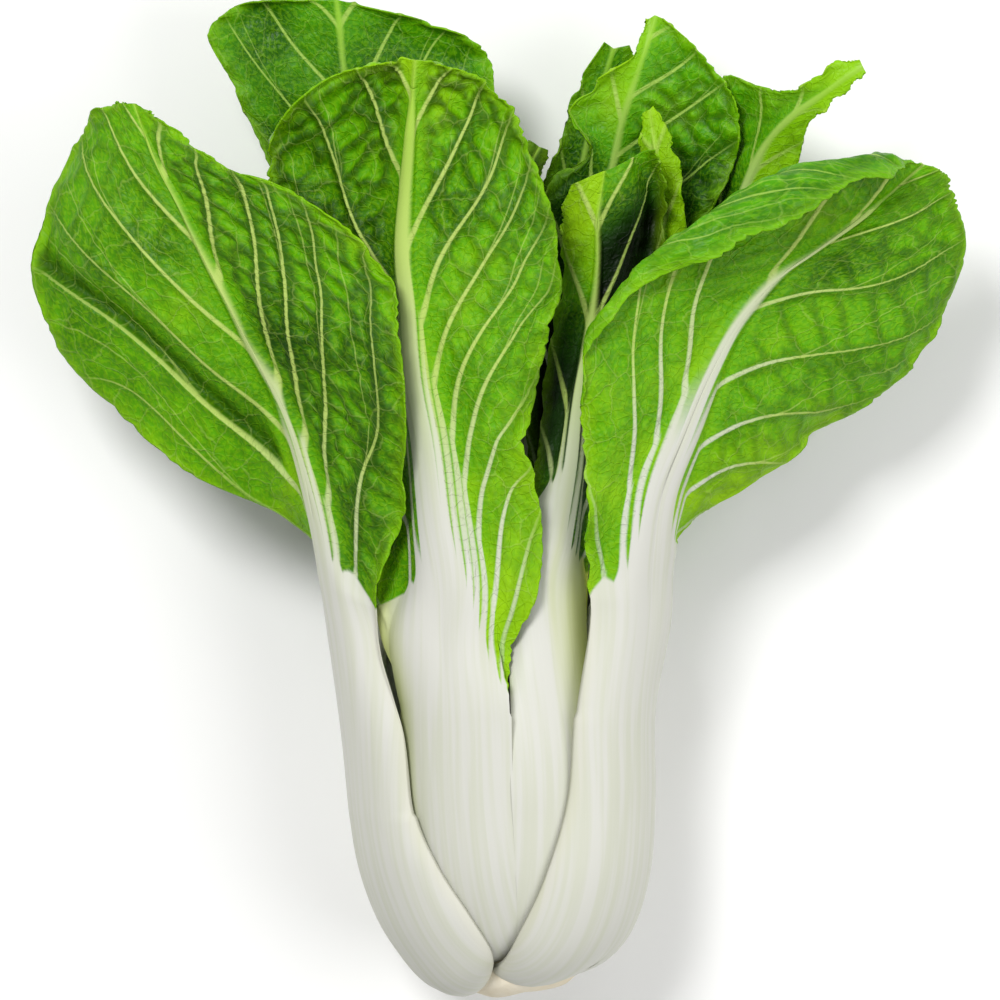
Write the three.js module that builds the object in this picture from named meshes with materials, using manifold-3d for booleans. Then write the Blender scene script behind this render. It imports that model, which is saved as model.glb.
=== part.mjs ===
// A head of bok choy, cut at the root and laid on its back, in millimetres.
// +Y runs from the cut root to the leaf tips, +Z is up from the surface it lies on, and +X is to the
// right for an eye that looks down on it. The origin is on the surface, under the middle of the head.
//
// Each leaf is one curved sheet. A rib curve runs up its middle and a rail runs up each side: low on
// the side of the smaller azimuth round the head, high on the other. The white stalk thickens the
// middle of the sheet on its outer face, and the green blade is the sheet itself, behind the stalk.

import * as THREE from 'three';
import { mergeVertices } from 'three/addons/utils/BufferGeometryUtils.js';
import Module from 'manifold-3d';

const wasm = await Module();
wasm.setup();

// The closed bundle of stalks, as an outer profile of radius against height, squashed by its own weight.
const BELLY_RADIUS = 52.3;
const BELLY_HEIGHT = 80;
const BELLY_POWER = 2.6;
const FLARE = 20;
const SQUASH = 0.9;
const AXIS_HEIGHT = 44;
const AXIS_RISE = 0.08;

// The bundle's axis leans across: its place at the root and at the belly, and a slip at the very root.
const ROOT_SHIFT = 4.2;
const BELLY_SHIFT = 0.5;
const ROOT_SLIP = 10;
const SLIP_REACH = 5;

// Outer leaves wrap further round the head at its root: how high up that reaches, and its fall-off.
const WRAP_REACH = 46;
const WRAP_POWER = 1.8;

// Each ring of leaves lies this far inside the one before it.
const RING_STEP = 9;
const STALK_THICK = 7.2;
const RIB_TIP_THICK = 0.9;
const RIB_EDGE = 0.7;
const SHEET_INSET = 7.5;
const GAP = 0.35;
const ARC_SHARE = 0.6;
const BLADE_THICK = 0.9;
const STALK_START = 0.6;

// The root is cut on a slant, so the stalks on the +X side start higher.
const SLANT = 8;
const SLANT_REACH = 6;
const STALK_STATIONS = [0, 0.06, 0.2, 0.42, 0.7, 1];

// The midrib's half width in the blade, from where the stalk has given off its side veins to the tip.
const RIB_HALF = 2.4;
const RIB_TIP_HALF = 0.8;
const RIB_REACH = 0.94;

// Where the blade starts, the stalk covers this share of it.
const WING_START = 0.97;

// The core that the stalks grow from, as radius against height above the cut.
const CORE = [[0, 0], [11, 0], [16, 1.5], [19.5, 4.5], [20, 9], [18.5, 14], [16.5, 20], [13.5, 28],
  [10, 35], [5, 40], [0, 42]];
const CORE_SIDES = 24;
const CORE_X = 8;
const CORE_TILT = 9;

// rib, low and high are stations up the blade. bow is how far each half of a cross-section bulges
// outwards, as a share of its chord, from neck to tip. fold is a margin rolled over the outer face:
// its length up the blade, and how far it turns in degrees. waves are the margin's ruffles.
const LEAVES = [
  {
    name: 'left', ring: 0, azimuth: 163, top: 62, taper: 0.3, fine: true,
    spread: { low: 26, high: 33 }, wrap: { low: 40, high: 0 },
    edge: { low: 1.4, high: 1.4 },
    rib: [[-44.5, 88, 58.5], [-49, 118, 62], [-53.5, 140, 66], [-59, 164, 71], [-68, 192, 76],
      [-81, 217, 81], [-93, 239, 83], [-102, 257, 82], [-110, 272, 79], [-116, 284, 74], [-119, 290, 71]],
    low: [[-31.5, 88, 74], [-40, 114, 70], [-41, 132, 72], [-35, 156, 82], [-33, 183, 92], [-33, 214, 99],
      [-41, 239, 100], [-65, 261, 97], [-92, 273, 90], [-108, 285, 79], [-115, 291, 73]],
    high: [[-46, 88, 38], [-53, 118, 46], [-57, 142, 52], [-71, 158, 58], [-104, 176, 60], [-138, 203, 57],
      [-153, 233, 55], [-148, 262, 56], [-138, 286, 59], [-127, 293, 66], [-122, 293, 70]],
    bow: { low: [0.05, 0.08, 0.1], high: [0.05, 0.06, 0.1] },
    fold: { low: { length: [0, 3, 4, 3, 1], turn: 50 }, high: { length: [0, 1, 2, 2, 1], turn: -40 } },
    waves: { size: 3, count: 4.2, phase: 0.1 },
  },
  {
    name: 'front', ring: 1, azimuth: 116, top: 95, taper: 0.46, fine: true,
    spread: { low: 29.3, high: 29.5 }, wrap: { low: -3.5, high: 0 },
    edge: { low: 4.6, high: 1.4 },
    rib: [[-17, 119, 75], [-17, 138, 78], [-20, 159, 80], [-23, 182, 83], [-27, 203, 85], [-29, 225, 87],
      [-31, 244, 90], [-30, 262, 94], [-29, 276, 99], [-28, 288, 104], [-27, 298, 107.5]],
    low: [[4, 115, 78], [12, 136, 80], [13, 162, 82], [8, 182, 84], [12, 206, 86], [18, 227, 88],
      [17, 246, 90], [12, 267, 94], [4, 286, 99], [-7, 298, 104], [-20, 302, 108.5]],
    high: [[-34, 118, 71], [-36, 136, 70], [-38, 159, 68], [-44, 187, 70], [-53, 211, 72], [-62, 234, 75],
      [-70, 255, 78], [-73, 272, 82], [-68, 287, 89], [-53, 299, 98], [-34, 303, 107]],
    bow: { low: [0.05, 0.1, -0.12], high: [0.05, -0.03, -0.2] },
    fold: { low: { length: [0, 2, 3, 3, 1], turn: -45 }, high: { length: [0, 2, 3, 4, 1], turn: 60 } },
    waves: { size: 2.4, count: 5.3, phase: 0.45 },
  },
  {
    name: 'right', ring: 0, azimuth: 30, top: 95, taper: 0.36, fine: true,
    spread: { low: 33, high: 28 }, wrap: { low: 0, high: 33.5 },
    edge: { low: 1.4, high: 1.4 },
    rib: [[44, 125, 66], [46, 146, 71], [50, 167, 76], [58, 186, 79], [66, 204, 81], [76, 222, 82],
      [89, 236, 81], [102, 245, 78], [115, 254, 74], [126, 263, 70], [137, 271, 66]],
    low: [[55, 124, 50], [59, 149, 58], [73, 164, 60], [97, 179, 57], [119, 194, 54], [137, 210, 53],
      [148, 228, 54], [152, 246, 56], [150, 261, 60], [147, 269, 63], [141, 273, 66]],
    high: [[29, 125, 79], [28, 145, 83], [27, 169, 88], [27, 193, 93], [29, 217, 96], [44, 234, 96],
      [64, 247, 93], [85, 258, 88], [106, 268, 83], [123, 273, 78], [134, 274, 71]],
    bow: { low: [0.04, 0.08, 0.08], high: [0.05, 0.08, 0.16] },
    fold: { low: { length: [0, 1, 2, 2, 1], turn: -35 }, high: { length: [0, 3, 14, 28, 2], turn: 165 } },
    waves: { size: 2.6, count: 4.6, phase: 0.8 },
  },
  {
    name: 'centre', ring: 1, azimuth: 60, top: 82, taper: 0.34, fine: false,
    spread: { low: 25.5, high: 25.3 }, wrap: { low: 0, high: -3.5 },
    edge: { low: 1.4, high: 4.6 },
    rib: [[15, 131, 68], [19, 154, 69], [23, 177, 69], [26, 200, 67], [30, 223, 66], [32, 240, 68],
      [31, 254, 70], [31, 265, 72]],
    low: [[28, 131, 62], [32, 155, 61], [35, 180, 60], [40, 204, 59], [45, 229, 60], [48, 250, 61],
      [47, 265, 65], [42, 275, 70]],
    high: [[4, 131, 69], [9, 154, 67], [12, 173, 64], [14, 198, 61], [18, 221, 60], [21, 242, 62],
      [20, 257, 66], [24, 267, 70]],
    bow: { low: [0.05, 0.12, 0.2], high: [0.05, 0.08, 0.1] },
    fold: { low: { length: [0, 2, 4, 9, 12], turn: 110 }, high: { length: [0, 2, 2, 2, 2], turn: -50 } },
    waves: { size: 2, count: 4.4, phase: 0.3 },
  },
  {
    name: 'tall', ring: 2, azimuth: 304, top: 115, taper: 0.22, fine: false,
    spread: { low: 27, high: 27 }, wrap: { low: 0, high: 0 },
    edge: { low: 1.4, high: 1.4 },
    rib: [[20, 151, 29], [22, 177, 30], [24, 204, 32], [27, 227, 34], [31, 249, 38], [34, 262, 40],
      [37, 275, 42], [40, 287, 44], [43, 298, 46], [47, 309, 48], [51, 321, 48]],
    low: [[11, 150, 27], [8, 177, 29], [8, 206, 32], [9, 232, 36], [12, 254, 40], [15, 267, 43],
      [26, 281, 45], [23, 291, 47], [31, 302, 48], [44, 311, 49], [49, 323, 48]],
    high: [[30, 152, 32], [35, 180, 33], [43, 209, 35], [52, 234, 39], [62, 250, 43], [71, 262, 46],
      [77, 274, 48], [79, 286, 50], [77, 297, 51], [68, 310, 51], [54, 323, 49]],
    bow: { low: [0.05, 0.1, 0.1], high: [0.05, 0.12, 0.14] },
    fold: { low: { length: [0, 1, 2, 2, 1], turn: -70 }, high: { length: [0, 1, 2, 2, 1], turn: -90 } },
    waves: { size: 2, count: 4.8, phase: 0.65 },
  },
  {
    name: 'strip', ring: 2, azimuth: 8, top: 115, taper: 0.22, fine: false,
    spread: { low: 20, high: 20 }, wrap: { low: 0, high: 0 },
    edge: { low: 1.4, high: 1.4 },
    rib: [[43, 164, 47], [46, 190, 49], [49, 216, 52], [52, 241, 56], [52, 260, 59], [51, 278, 60],
      [49, 292, 60]],
    low: [[46, 164, 41], [51, 192, 44], [57, 220, 48], [60, 243, 54], [61, 262, 59], [57, 280, 61],
      [50, 293, 60]],
    high: [[41, 162, 51], [43, 189, 51], [45, 215, 51], [45, 240, 53], [46, 259, 55], [46, 276, 57],
      [47, 291, 60]],
    bow: { low: [0.05, 0.1, 0.1], high: [0.05, 0.1, 0.1] },
    fold: { low: { length: [0, 1, 1, 1, 1], turn: -60 }, high: { length: [0, 1, 1, 1, 1], turn: -60 } },
    waves: { size: 1.5, count: 4, phase: 0.2 },
  },
  {
    name: 'back_right', ring: 1, azimuth: 340, top: 104, taper: 0.24, fine: false,
    spread: { low: 24, high: 24 }, wrap: { low: 0, high: 0 },
    edge: { low: 1.4, high: 1.4 },
    rib: [[35.5, 150, 33], [45, 177, 34], [54, 202, 37], [63, 227, 40], [72, 247, 43], [80, 265, 48],
      [87, 280, 54], [95, 289, 61], [105, 296, 68], [112, 301, 71], [118, 305, 72]],
    low: [[30, 149, 25], [34, 177, 25], [41, 206, 26], [47, 234, 28], [54, 260, 31], [62, 284, 36],
      [73, 304, 43], [86, 300, 54], [98, 299, 63], [108, 306, 70], [117, 307, 72]],
    high: [[46, 152, 39], [57, 177, 40], [69, 201, 42], [82, 223, 44], [93, 243, 47], [97, 262, 51],
      [98, 277, 57], [102, 287, 63], [108, 293, 68], [115, 299, 71], [119, 303, 72]],
    bow: { low: [0.05, 0.1, 0.1], high: [0.05, 0.1, 0.1] },
    fold: { low: { length: [0, 1, 2, 1, 0.5], turn: -60 }, high: { length: [0, 2, 2, 1, 0.5], turn: -70 } },
    waves: { size: 2.2, count: 4.5, phase: 0.9 },
  },
  {
    name: 'back_middle', ring: 2, azimuth: 246.5, top: 115, taper: 0.22, fine: false,
    spread: { low: 26, high: 25 }, wrap: { low: 0, high: 0 },
    edge: { low: 1.4, high: 1.4 },
    rib: [[5, 151, 15], [8, 177, 15], [12, 206, 16], [17, 231, 18], [22, 255, 20], [28, 279, 23],
      [33, 299, 27], [38, 315, 30]],
    low: [[-4, 150, 16], [-3, 177, 16], [-1, 208, 17], [4, 235, 19], [11, 261, 22], [19, 284, 25],
      [26, 303, 28], [35, 317, 31]],
    high: [[15, 151, 15], [21, 179, 15], [28, 208, 16], [34, 235, 18], [41, 261, 21], [47, 285, 24],
      [48, 302, 28], [43, 316, 31]],
    bow: { low: [0.05, 0.08, 0.1], high: [0.05, 0.08, 0.1] },
    fold: { low: { length: [0, 1, 1, 1, 1], turn: -60 }, high: { length: [0, 1, 2, 2, 1], turn: -60 } },
    waves: { size: 1.8, count: 4.6, phase: 0.5 },
  },
  {
    name: 'back_left', ring: 1, azimuth: 203, top: 110, taper: 0.24, fine: false,
    spread: { low: 28, high: 28 }, wrap: { low: 0, high: 0 },
    edge: { low: 1.4, high: 1.4 },
    rib: [[-23, 151, 32], [-27, 177, 35], [-32, 202, 38], [-37, 226, 41], [-42, 250, 44], [-46, 273, 46],
      [-50, 293, 47], [-52, 309, 48], [-53, 321, 50], [-54, 327, 51]],
    low: [[-31, 151, 38], [-38, 179, 42], [-48, 209, 46], [-58, 234, 48], [-69, 258, 50], [-80, 283, 50],
      [-89, 303, 49], [-96, 319, 48], [-84, 328, 50], [-63, 329, 51]],
    high: [[-19, 149, 20], [-17, 176, 25], [-13, 202, 29], [-12, 227, 31], [-9, 251, 33], [-6, 275, 37],
      [-3, 297, 43], [-5, 313, 45], [-24, 322, 48], [-45, 327, 51]],
    bow: { low: [0.05, 0.06, 0.08], high: [0.05, 0.08, 0.1] },
    fold: { low: { length: [0, 0.5, 2, 2, 1], turn: -80 }, high: { length: [0, 0.5, 2, 2, 1], turn: -50 } },
    waves: { size: 2.4, count: 4.7, phase: 0.15 },
  },
  {
    name: 'floor_left', ring: 0, azimuth: 237, top: 108, taper: 0.28, fine: false,
    spread: { low: 37, high: 37 }, wrap: { low: 0, high: 0 },
    edge: { low: 1.4, high: 1.4 },
    rib: [[-24, 157, 11], [-36, 179, 9], [-51, 200, 8], [-66, 218, 8], [-81, 235, 8], [-93, 249, 8],
      [-102, 258, 9]],
    low: [[-44, 152, 19], [-66, 170, 10], [-88, 179, 4], [-111, 195, 0], [-126, 219, 0], [-128, 242, 2],
      [-115, 258, 6]],
    high: [[-7, 162, 9], [-12, 191, 7], [-18, 220, 5], [-29, 242, 3], [-46, 259, 2], [-68, 264, 4],
      [-91, 263, 8]],
    bow: { low: [0.08, 0, -0.04], high: [0.08, 0, -0.04] },
    fold: { low: { length: [0, 0.5, 3, 3, 2], turn: -40 }, high: { length: [0, 0.5, 3, 3, 2], turn: -50 } },
    waves: { size: 1.6, count: 4.2, phase: 0.7 },
  },
  {
    name: 'floor_right', ring: 0, azimuth: 316, top: 112, taper: 0.28, fine: false,
    spread: { low: 37, high: 37 }, wrap: { low: 0, high: 0 },
    edge: { low: 1.4, high: 1.4 },
    rib: [[30, 157, 11], [44, 179, 9], [59, 199, 8], [75, 216, 8], [91, 229, 8], [104, 241, 8],
      [115, 249, 9]],
    low: [[20, 164, 9], [22, 193, 7], [30, 222, 5], [43, 243, 3], [61, 257, 2], [83, 261, 4], [107, 257, 8]],
    high: [[54, 149, 21], [72, 170, 9], [93, 182, 3], [115, 197, 0], [130, 217, 0], [132, 237, 2],
      [122, 251, 6]],
    bow: { low: [0.08, 0, -0.04], high: [0.08, 0, -0.04] },
    fold: { low: { length: [0, 0.5, 3, 3, 2], turn: -50 }, high: { length: [0, 0.5, 3, 3, 2], turn: -40 } },
    waves: { size: 1.6, count: 4.4, phase: 0.35 },
  },
  {
    name: 'heart', ring: 3, azimuth: 120, top: 118, taper: 0.26, fine: false,
    spread: { low: 30, high: 30 }, wrap: { low: 0, high: 0 },
    edge: { low: 1.4, high: 1.4 },
    rib: [[-1, 157, 49], [-2, 182, 45], [-2, 208, 41], [-1, 234, 38], [2, 256, 36], [8, 272, 34],
      [13, 282, 32]],
    low: [[6, 157, 47], [5, 182, 42], [4, 208, 38], [5, 234, 35], [8, 254, 33], [14, 270, 31],
      [16, 281, 31]],
    high: [[-7, 157, 48], [-8, 182, 45], [-8, 208, 42], [-7, 234, 40], [-3, 256, 38], [3, 273, 36],
      [10, 284, 33]],
    bow: { low: [0.05, 0.12, 0.12], high: [0.05, 0.12, 0.12] },
    fold: { low: { length: [0, 1, 1, 1, 1], turn: -60 }, high: { length: [0, 1, 1, 1, 1], turn: -60 } },
    waves: { size: 1.2, count: 3.6, phase: 0.6 },
  },
];

const radians = (degrees) => (degrees * Math.PI) / 180;
const clamp01 = (x) => Math.min(1, Math.max(0, x));

// A value that runs smoothly through an even list as v goes from 0 to 1.
function through(list, v) {
  const place = clamp01(v) * (list.length - 1);
  const i = Math.min(list.length - 2, Math.floor(place));
  const f = place - i;
  const ease = f * f * (3 - 2 * f);
  return list[i] + (list[i + 1] - list[i]) * ease;
}

// The bundle's outer radius at a height: a superellipse up to the belly, then a slow flare.
function bundleRadius(height) {
  if (height >= BELLY_HEIGHT) return BELLY_RADIUS + FLARE * ((height - BELLY_HEIGHT) / 100) ** 2;
  const below = 1 - height / BELLY_HEIGHT;
  return BELLY_RADIUS * (1 - below ** BELLY_POWER) ** (1 / BELLY_POWER);
}

// A point of the bundle: a height and azimuth on the outer profile, moved inwards along its normal.
function bundlePoint(height, azimuth, depth) {
  const step = 0.05;
  const slope = (bundleRadius(height + step) - bundleRadius(height)) / step;
  const norm = Math.hypot(1, slope);
  const radius = bundleRadius(height) - depth / norm;
  const aside = clamp01((Math.cos(azimuth) + 0.35) / 0.7);
  const lift = SLANT * aside * aside * (3 - 2 * aside) * Math.exp(-height / SLANT_REACH);
  const y = height + (depth * slope) / norm + lift;
  const lean = ROOT_SHIFT - (ROOT_SHIFT - BELLY_SHIFT) * clamp01(height / BELLY_HEIGHT);
  const axisX = lean - ROOT_SLIP * Math.exp(-height / SLIP_REACH);
  const axisZ = AXIS_HEIGHT + AXIS_RISE * Math.max(0, y - BELLY_HEIGHT);
  return new THREE.Vector3(
    axisX + radius * Math.cos(azimuth), y, axisZ + SQUASH * radius * Math.sin(azimuth));
}

// The leaf's three curves, from the core to the tip, and how its cross-sections are shaped.
function leafSheet(leaf) {
  const depth = leaf.ring * RING_STEP + SHEET_INSET;
  const wider = (wrap, height) => wrap * Math.exp(-((height / WRAP_REACH) ** WRAP_POWER));
  const curve = (blade, spread, wrap) => {
    const stalk = STALK_STATIONS.map((share) => {
      const height = STALK_START + (leaf.top - STALK_START) * share;
      const across = spread + Math.sign(spread) * wider(wrap, height);
      return bundlePoint(height, radians(leaf.azimuth + across), depth);
    });
    const points = [...stalk, ...blade.map((p) => new THREE.Vector3(...p))];
    return new THREE.CatmullRomCurve3(points, false, 'catmullrom', 0.5);
  };
  const rib = curve(leaf.rib, 0, 0);
  const rails = {
    low: curve(leaf.low, -leaf.spread.low, leaf.wrap.low),
    high: curve(leaf.high, leaf.spread.high, leaf.wrap.high),
  };
  const last = rib.points.length - 1;
  const neck = (STALK_STATIONS.length - 1) / last;
  const arcBow = (side, height) => {
    const across = leaf.spread[side] + wider(leaf.wrap[side], Math.max(0, height));
    return Math.tan(radians(across) / 4) / 2;
  };
  const bladeShare = (t) => (t - neck) / (1 - neck);
  const halfOf = (side, t) => rib.getPoint(t).distanceTo(rails[side].getPoint(t));
  const foldLength = (side, t) => through(leaf.fold[side].length, bladeShare(t));
  const reach = (side, t) => halfOf(side, t) + foldLength(side, t);

  // How far the stalk reaches across the sheet on one side: all of it below the neck.
  function ribHalf(side, t) {
    const v = clamp01(bladeShare(t));
    const stalkLeft = Math.exp(-((v / leaf.taper) ** 1.5));
    const reached = halfOf(side, Math.min(t, neck));
    return reached * stalkLeft + (RIB_HALF * (1 - v) + RIB_TIP_HALF) * (1 - stalkLeft);
  }

  function ruffle(side, v) {
    const { size, count, phase } = leaf.waves;
    const start = phase + (side === 'low' ? 0 : 0.37);
    const wave = Math.sin(2 * Math.PI * (count * v + start));
    const cross = Math.sin(2 * Math.PI * (1.73 * count * v + 1.9 * start));
    const start01 = clamp01(v / 0.3);
    const grows = start01 * start01 * (3 - 2 * start01) * Math.sqrt(1 - v);
    return size * grows * (wave + 0.45 * cross);
  }

  // A point of the sheet: t from core to tip, s from -1 at the low margin to 1 at the high one.
  // Each half of a section is a shallow parabola on its chord, then an arc and a straight lip.
  function point(t, s) {
    const side = s < 0 ? 'low' : 'high';
    const v = bladeShare(t);
    const middle = rib.getPoint(t);
    const chord = rails[side].getPoint(t).sub(middle);
    const half = chord.length();
    const along = chord.clone().normalize();
    const tangent = rib.getTangent(t);
    const out = new THREE.Vector3().crossVectors(tangent, along).normalize();
    if (side === 'low') out.negate();
    const round = arcBow(side, middle.y);
    const bow = round + (through(leaf.bow[side], v) - round) * clamp01(v / 0.15);
    const lip = foldLength(side, t);
    const share = Math.abs(s);
    const run = share * (half + lip);
    const spot = middle.clone();
    if (run <= half || lip < 1e-6) {
      const q = run / half;
      spot.addScaledVector(along, half * q).addScaledVector(out, bow * half * 4 * q * (1 - q));
    } else {
      const steep = Math.atan(-4 * bow);
      const bend = radians(leaf.fold[side].turn);
      const radius = (ARC_SHARE * lip) / bend;
      const angle = bend * Math.min(1, (run - half) / (ARC_SHARE * lip));
      const ahead = radius * (Math.sin(steep + angle) - Math.sin(steep));
      const aside = radius * (Math.cos(steep) - Math.cos(steep + angle));
      const straight = Math.max(0, run - half - ARC_SHARE * lip);
      spot.addScaledVector(along, half + ahead + straight * Math.cos(steep + angle));
      spot.addScaledVector(out, aside + straight * Math.sin(steep + angle));
    }
    if (v > 0) spot.addScaledVector(out, ruffle(side, v) * share ** 3);
    return spot;
  }

  function normal(t, s) {
    const dt = 0.002;
    const ds = 0.01;
    const up = point(Math.min(1, t + dt), s).sub(point(Math.max(0, t - dt), s));
    const over = point(t, Math.min(1, s + ds)).sub(point(t, Math.max(-1, s - ds)));
    return up.cross(over).normalize();
  }

  return { point, normal, neck, bladeShare, ribHalf, reach };
}

// A closed solid between two faces of a grid of columns by rows: front is the outer face.
function slab(front, back) {
  const rows = front.length;
  const columns = front[0].length;
  const vertices = [];
  const faces = [];
  for (const face of [front, back]) for (const row of face) for (const p of row) vertices.push(p.x, p.y, p.z);
  const at = (face, i, j) => (face * rows + i) * columns + j;
  const quad = (a, b, c, d) => faces.push(a, b, c, a, c, d);
  for (let i = 0; i + 1 < rows; i++) {
    for (let j = 0; j + 1 < columns; j++) {
      quad(at(0, i, j), at(0, i + 1, j), at(0, i + 1, j + 1), at(0, i, j + 1));
      const [a, b, c, d] = [at(1, i, j), at(1, i + 1, j), at(1, i + 1, j + 1), at(1, i, j + 1)];
      faces.push(a, c, b, a, d, c);
    }
    quad(at(0, i, 0), at(1, i, 0), at(1, i + 1, 0), at(0, i + 1, 0));
    quad(at(0, i, columns - 1), at(0, i + 1, columns - 1), at(1, i + 1, columns - 1), at(1, i, columns - 1));
  }
  for (let j = 0; j + 1 < columns; j++) {
    quad(at(0, 0, j), at(0, 0, j + 1), at(1, 0, j + 1), at(1, 0, j));
    quad(at(0, rows - 1, j), at(1, rows - 1, j), at(1, rows - 1, j + 1), at(0, rows - 1, j + 1));
  }
  const geometry = new THREE.BufferGeometry();
  geometry.setAttribute('position', new THREE.Float32BufferAttribute(vertices, 3));
  geometry.setIndex(faces);
  return geometry;
}

// Keeps a point of a face at least this high above the surface the head lies on.
const lifted = (p, least) => new THREE.Vector3(p.x, p.y, Math.max(p.z, least));

const evenly = (count) => Array.from({ length: count + 1 }, (_, i) => i / count);

// The rows up a blade stand closer together towards the round tip.
function bladeRows(sheet, count) {
  return evenly(count).map((f) => sheet.neck + (1 - sheet.neck) * (1 - (1 - f) ** 1.35));
}

// The columns across the stalk, as shares of the section, where the stalk and the blade share them.
function ribColumns(sheet, t, count) {
  return evenly(count).map((f) => {
    const b = Math.sin(Math.PI * (f - 0.5));
    const side = b < 0 ? 'low' : 'high';
    const widest = t > sheet.neck - 1e-6 ? WING_START : 1;
    return b * Math.min(widest, sheet.ribHalf(side, t) / sheet.reach(side, t));
  });
}

function stalkGeometry(leaf, sheet, sizes) {
  const below = evenly(sizes.stalkRows).map((f) => sheet.neck * f).slice(0, -1);
  const rows = [...below, ...bladeRows(sheet, sizes.bladeRows)].filter((t) => sheet.bladeShare(t) <= RIB_REACH);
  const front = [];
  const back = [];
  for (const t of rows) {
    const v = clamp01(sheet.bladeShare(t));
    const thick = RIB_TIP_THICK + (STALK_THICK - RIB_TIP_THICK) * (1 - v) ** 1.6;
    const columns = ribColumns(sheet, t, sizes.ribColumns);
    const faces = columns.map((s, j) => {
      const b = Math.sin(Math.PI * (j / sizes.ribColumns - 0.5));
      const atRoot = b < 0 ? leaf.edge.low : leaf.edge.high;
      const edge = Math.min(thick, atRoot + (RIB_EDGE - atRoot) * clamp01(v / 0.2));
      const height = edge + (thick - edge) * (1 - Math.abs(b) ** 3) ** 0.7;
      const spot = sheet.point(t, s);
      const out = sheet.normal(t, s);
      return [spot.clone().addScaledVector(out, GAP + height), spot.clone().addScaledVector(out, GAP)];
    });
    front.push(faces.map(([outer]) => outer));
    back.push(faces.map(([, inner]) => lifted(inner, RIB_EDGE)));
  }
  return slab(front, back);
}

function bladeGeometry(leaf, sheet, sizes) {
  const front = [];
  const back = [];
  const wing = evenly(sizes.wingColumns).slice(1);
  for (const t of bladeRows(sheet, sizes.bladeRows)) {
    const middle = ribColumns(sheet, t, sizes.ribColumns);
    const [first] = middle;
    const final = middle[middle.length - 1];
    const columns = [
      ...wing.map((f) => first + (-1 - first) * f).reverse(),
      ...middle,
      ...wing.map((f) => final + (1 - final) * f),
    ];
    const faces = columns.map((s) => {
      const spot = sheet.point(t, s);
      return [spot, spot.clone().addScaledVector(sheet.normal(t, s), -BLADE_THICK)];
    });
    front.push(faces.map(([outer]) => lifted(outer, 0)));
    back.push(faces.map(([, inner]) => lifted(inner, BLADE_THICK)));
  }
  return slab(front, back);
}

function solidOf(geometry) {
  const bare = geometry.clone();
  bare.deleteAttribute('normal');
  bare.deleteAttribute('uv');
  const merged = mergeVertices(bare, 1e-4);
  return new wasm.Manifold(new wasm.Mesh({
    numProp: 3,
    vertProperties: merged.attributes.position.array,
    triVerts: new Uint32Array(merged.index.array),
  }));
}

function geometryOf(solid) {
  const mesh = solid.getMesh();
  const geometry = new THREE.BufferGeometry();
  geometry.setAttribute('position', new THREE.BufferAttribute(mesh.vertProperties, 3));
  geometry.setIndex(new THREE.BufferAttribute(mesh.triVerts, 1));
  return geometry;
}

// The core, grown by a margin where it is used to cut the stalks' ends.
function coreGeometry(margin) {
  const profile = CORE.map(([radius, y], i) => new THREE.Vector2(
    radius > 0 ? radius + margin : 0, y + (i < 4 ? -margin : margin)));
  const geometry = new THREE.LatheGeometry(profile, CORE_SIDES);
  geometry.scale(1, 1, SQUASH);
  geometry.rotateZ(radians(CORE_TILT));
  geometry.translate(CORE_X, CORE[1][0] * Math.sin(radians(CORE_TILT)), AXIS_HEIGHT);
  return geometry;
}

// Everything under the surface the head lies on: it presses a small flat into the lowest stalk.
function groundSolid() {
  const block = new THREE.BoxGeometry(400, 400, 20);
  block.translate(0, 150, -10);
  return solidOf(block);
}

const white = new THREE.MeshStandardMaterial({ color: 0xdfe3d6, roughness: 0.42, metalness: 0 });
const green = new THREE.MeshStandardMaterial({ color: 0x4f9a1d, roughness: 0.45, metalness: 0 });
const cream = new THREE.MeshStandardMaterial({ color: 0xd9cfae, roughness: 0.7, metalness: 0 });

const FINE = { stalkRows: 9, bladeRows: 18, ribColumns: 6, wingColumns: 7 };
const PLAIN = { stalkRows: 7, bladeRows: 12, ribColumns: 4, wingColumns: 4 };

const head = new THREE.Group();

function addPiece(name, geometry, material) {
  const mesh = new THREE.Mesh(geometry, material);
  mesh.name = name;
  head.add(mesh);
}

addPiece('core', coreGeometry(0), cream);
const coreCut = solidOf(coreGeometry(GAP));
const ground = groundSolid();
for (const leaf of LEAVES) {
  const sheet = leafSheet(leaf);
  const sizes = leaf.fine ? FINE : PLAIN;
  const stalk = solidOf(stalkGeometry(leaf, sheet, sizes)).subtract(coreCut).subtract(ground);
  addPiece(`${leaf.name}_stalk`, geometryOf(stalk), white);
  addPiece(`${leaf.name}_blade`, bladeGeometry(leaf, sheet, sizes), green);
}

const box = new THREE.Box3().setFromObject(head);
head.position.set(-(box.min.x + box.max.x) / 2, -(box.min.y + box.max.y) / 2, -box.min.z);

export default head;
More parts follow.
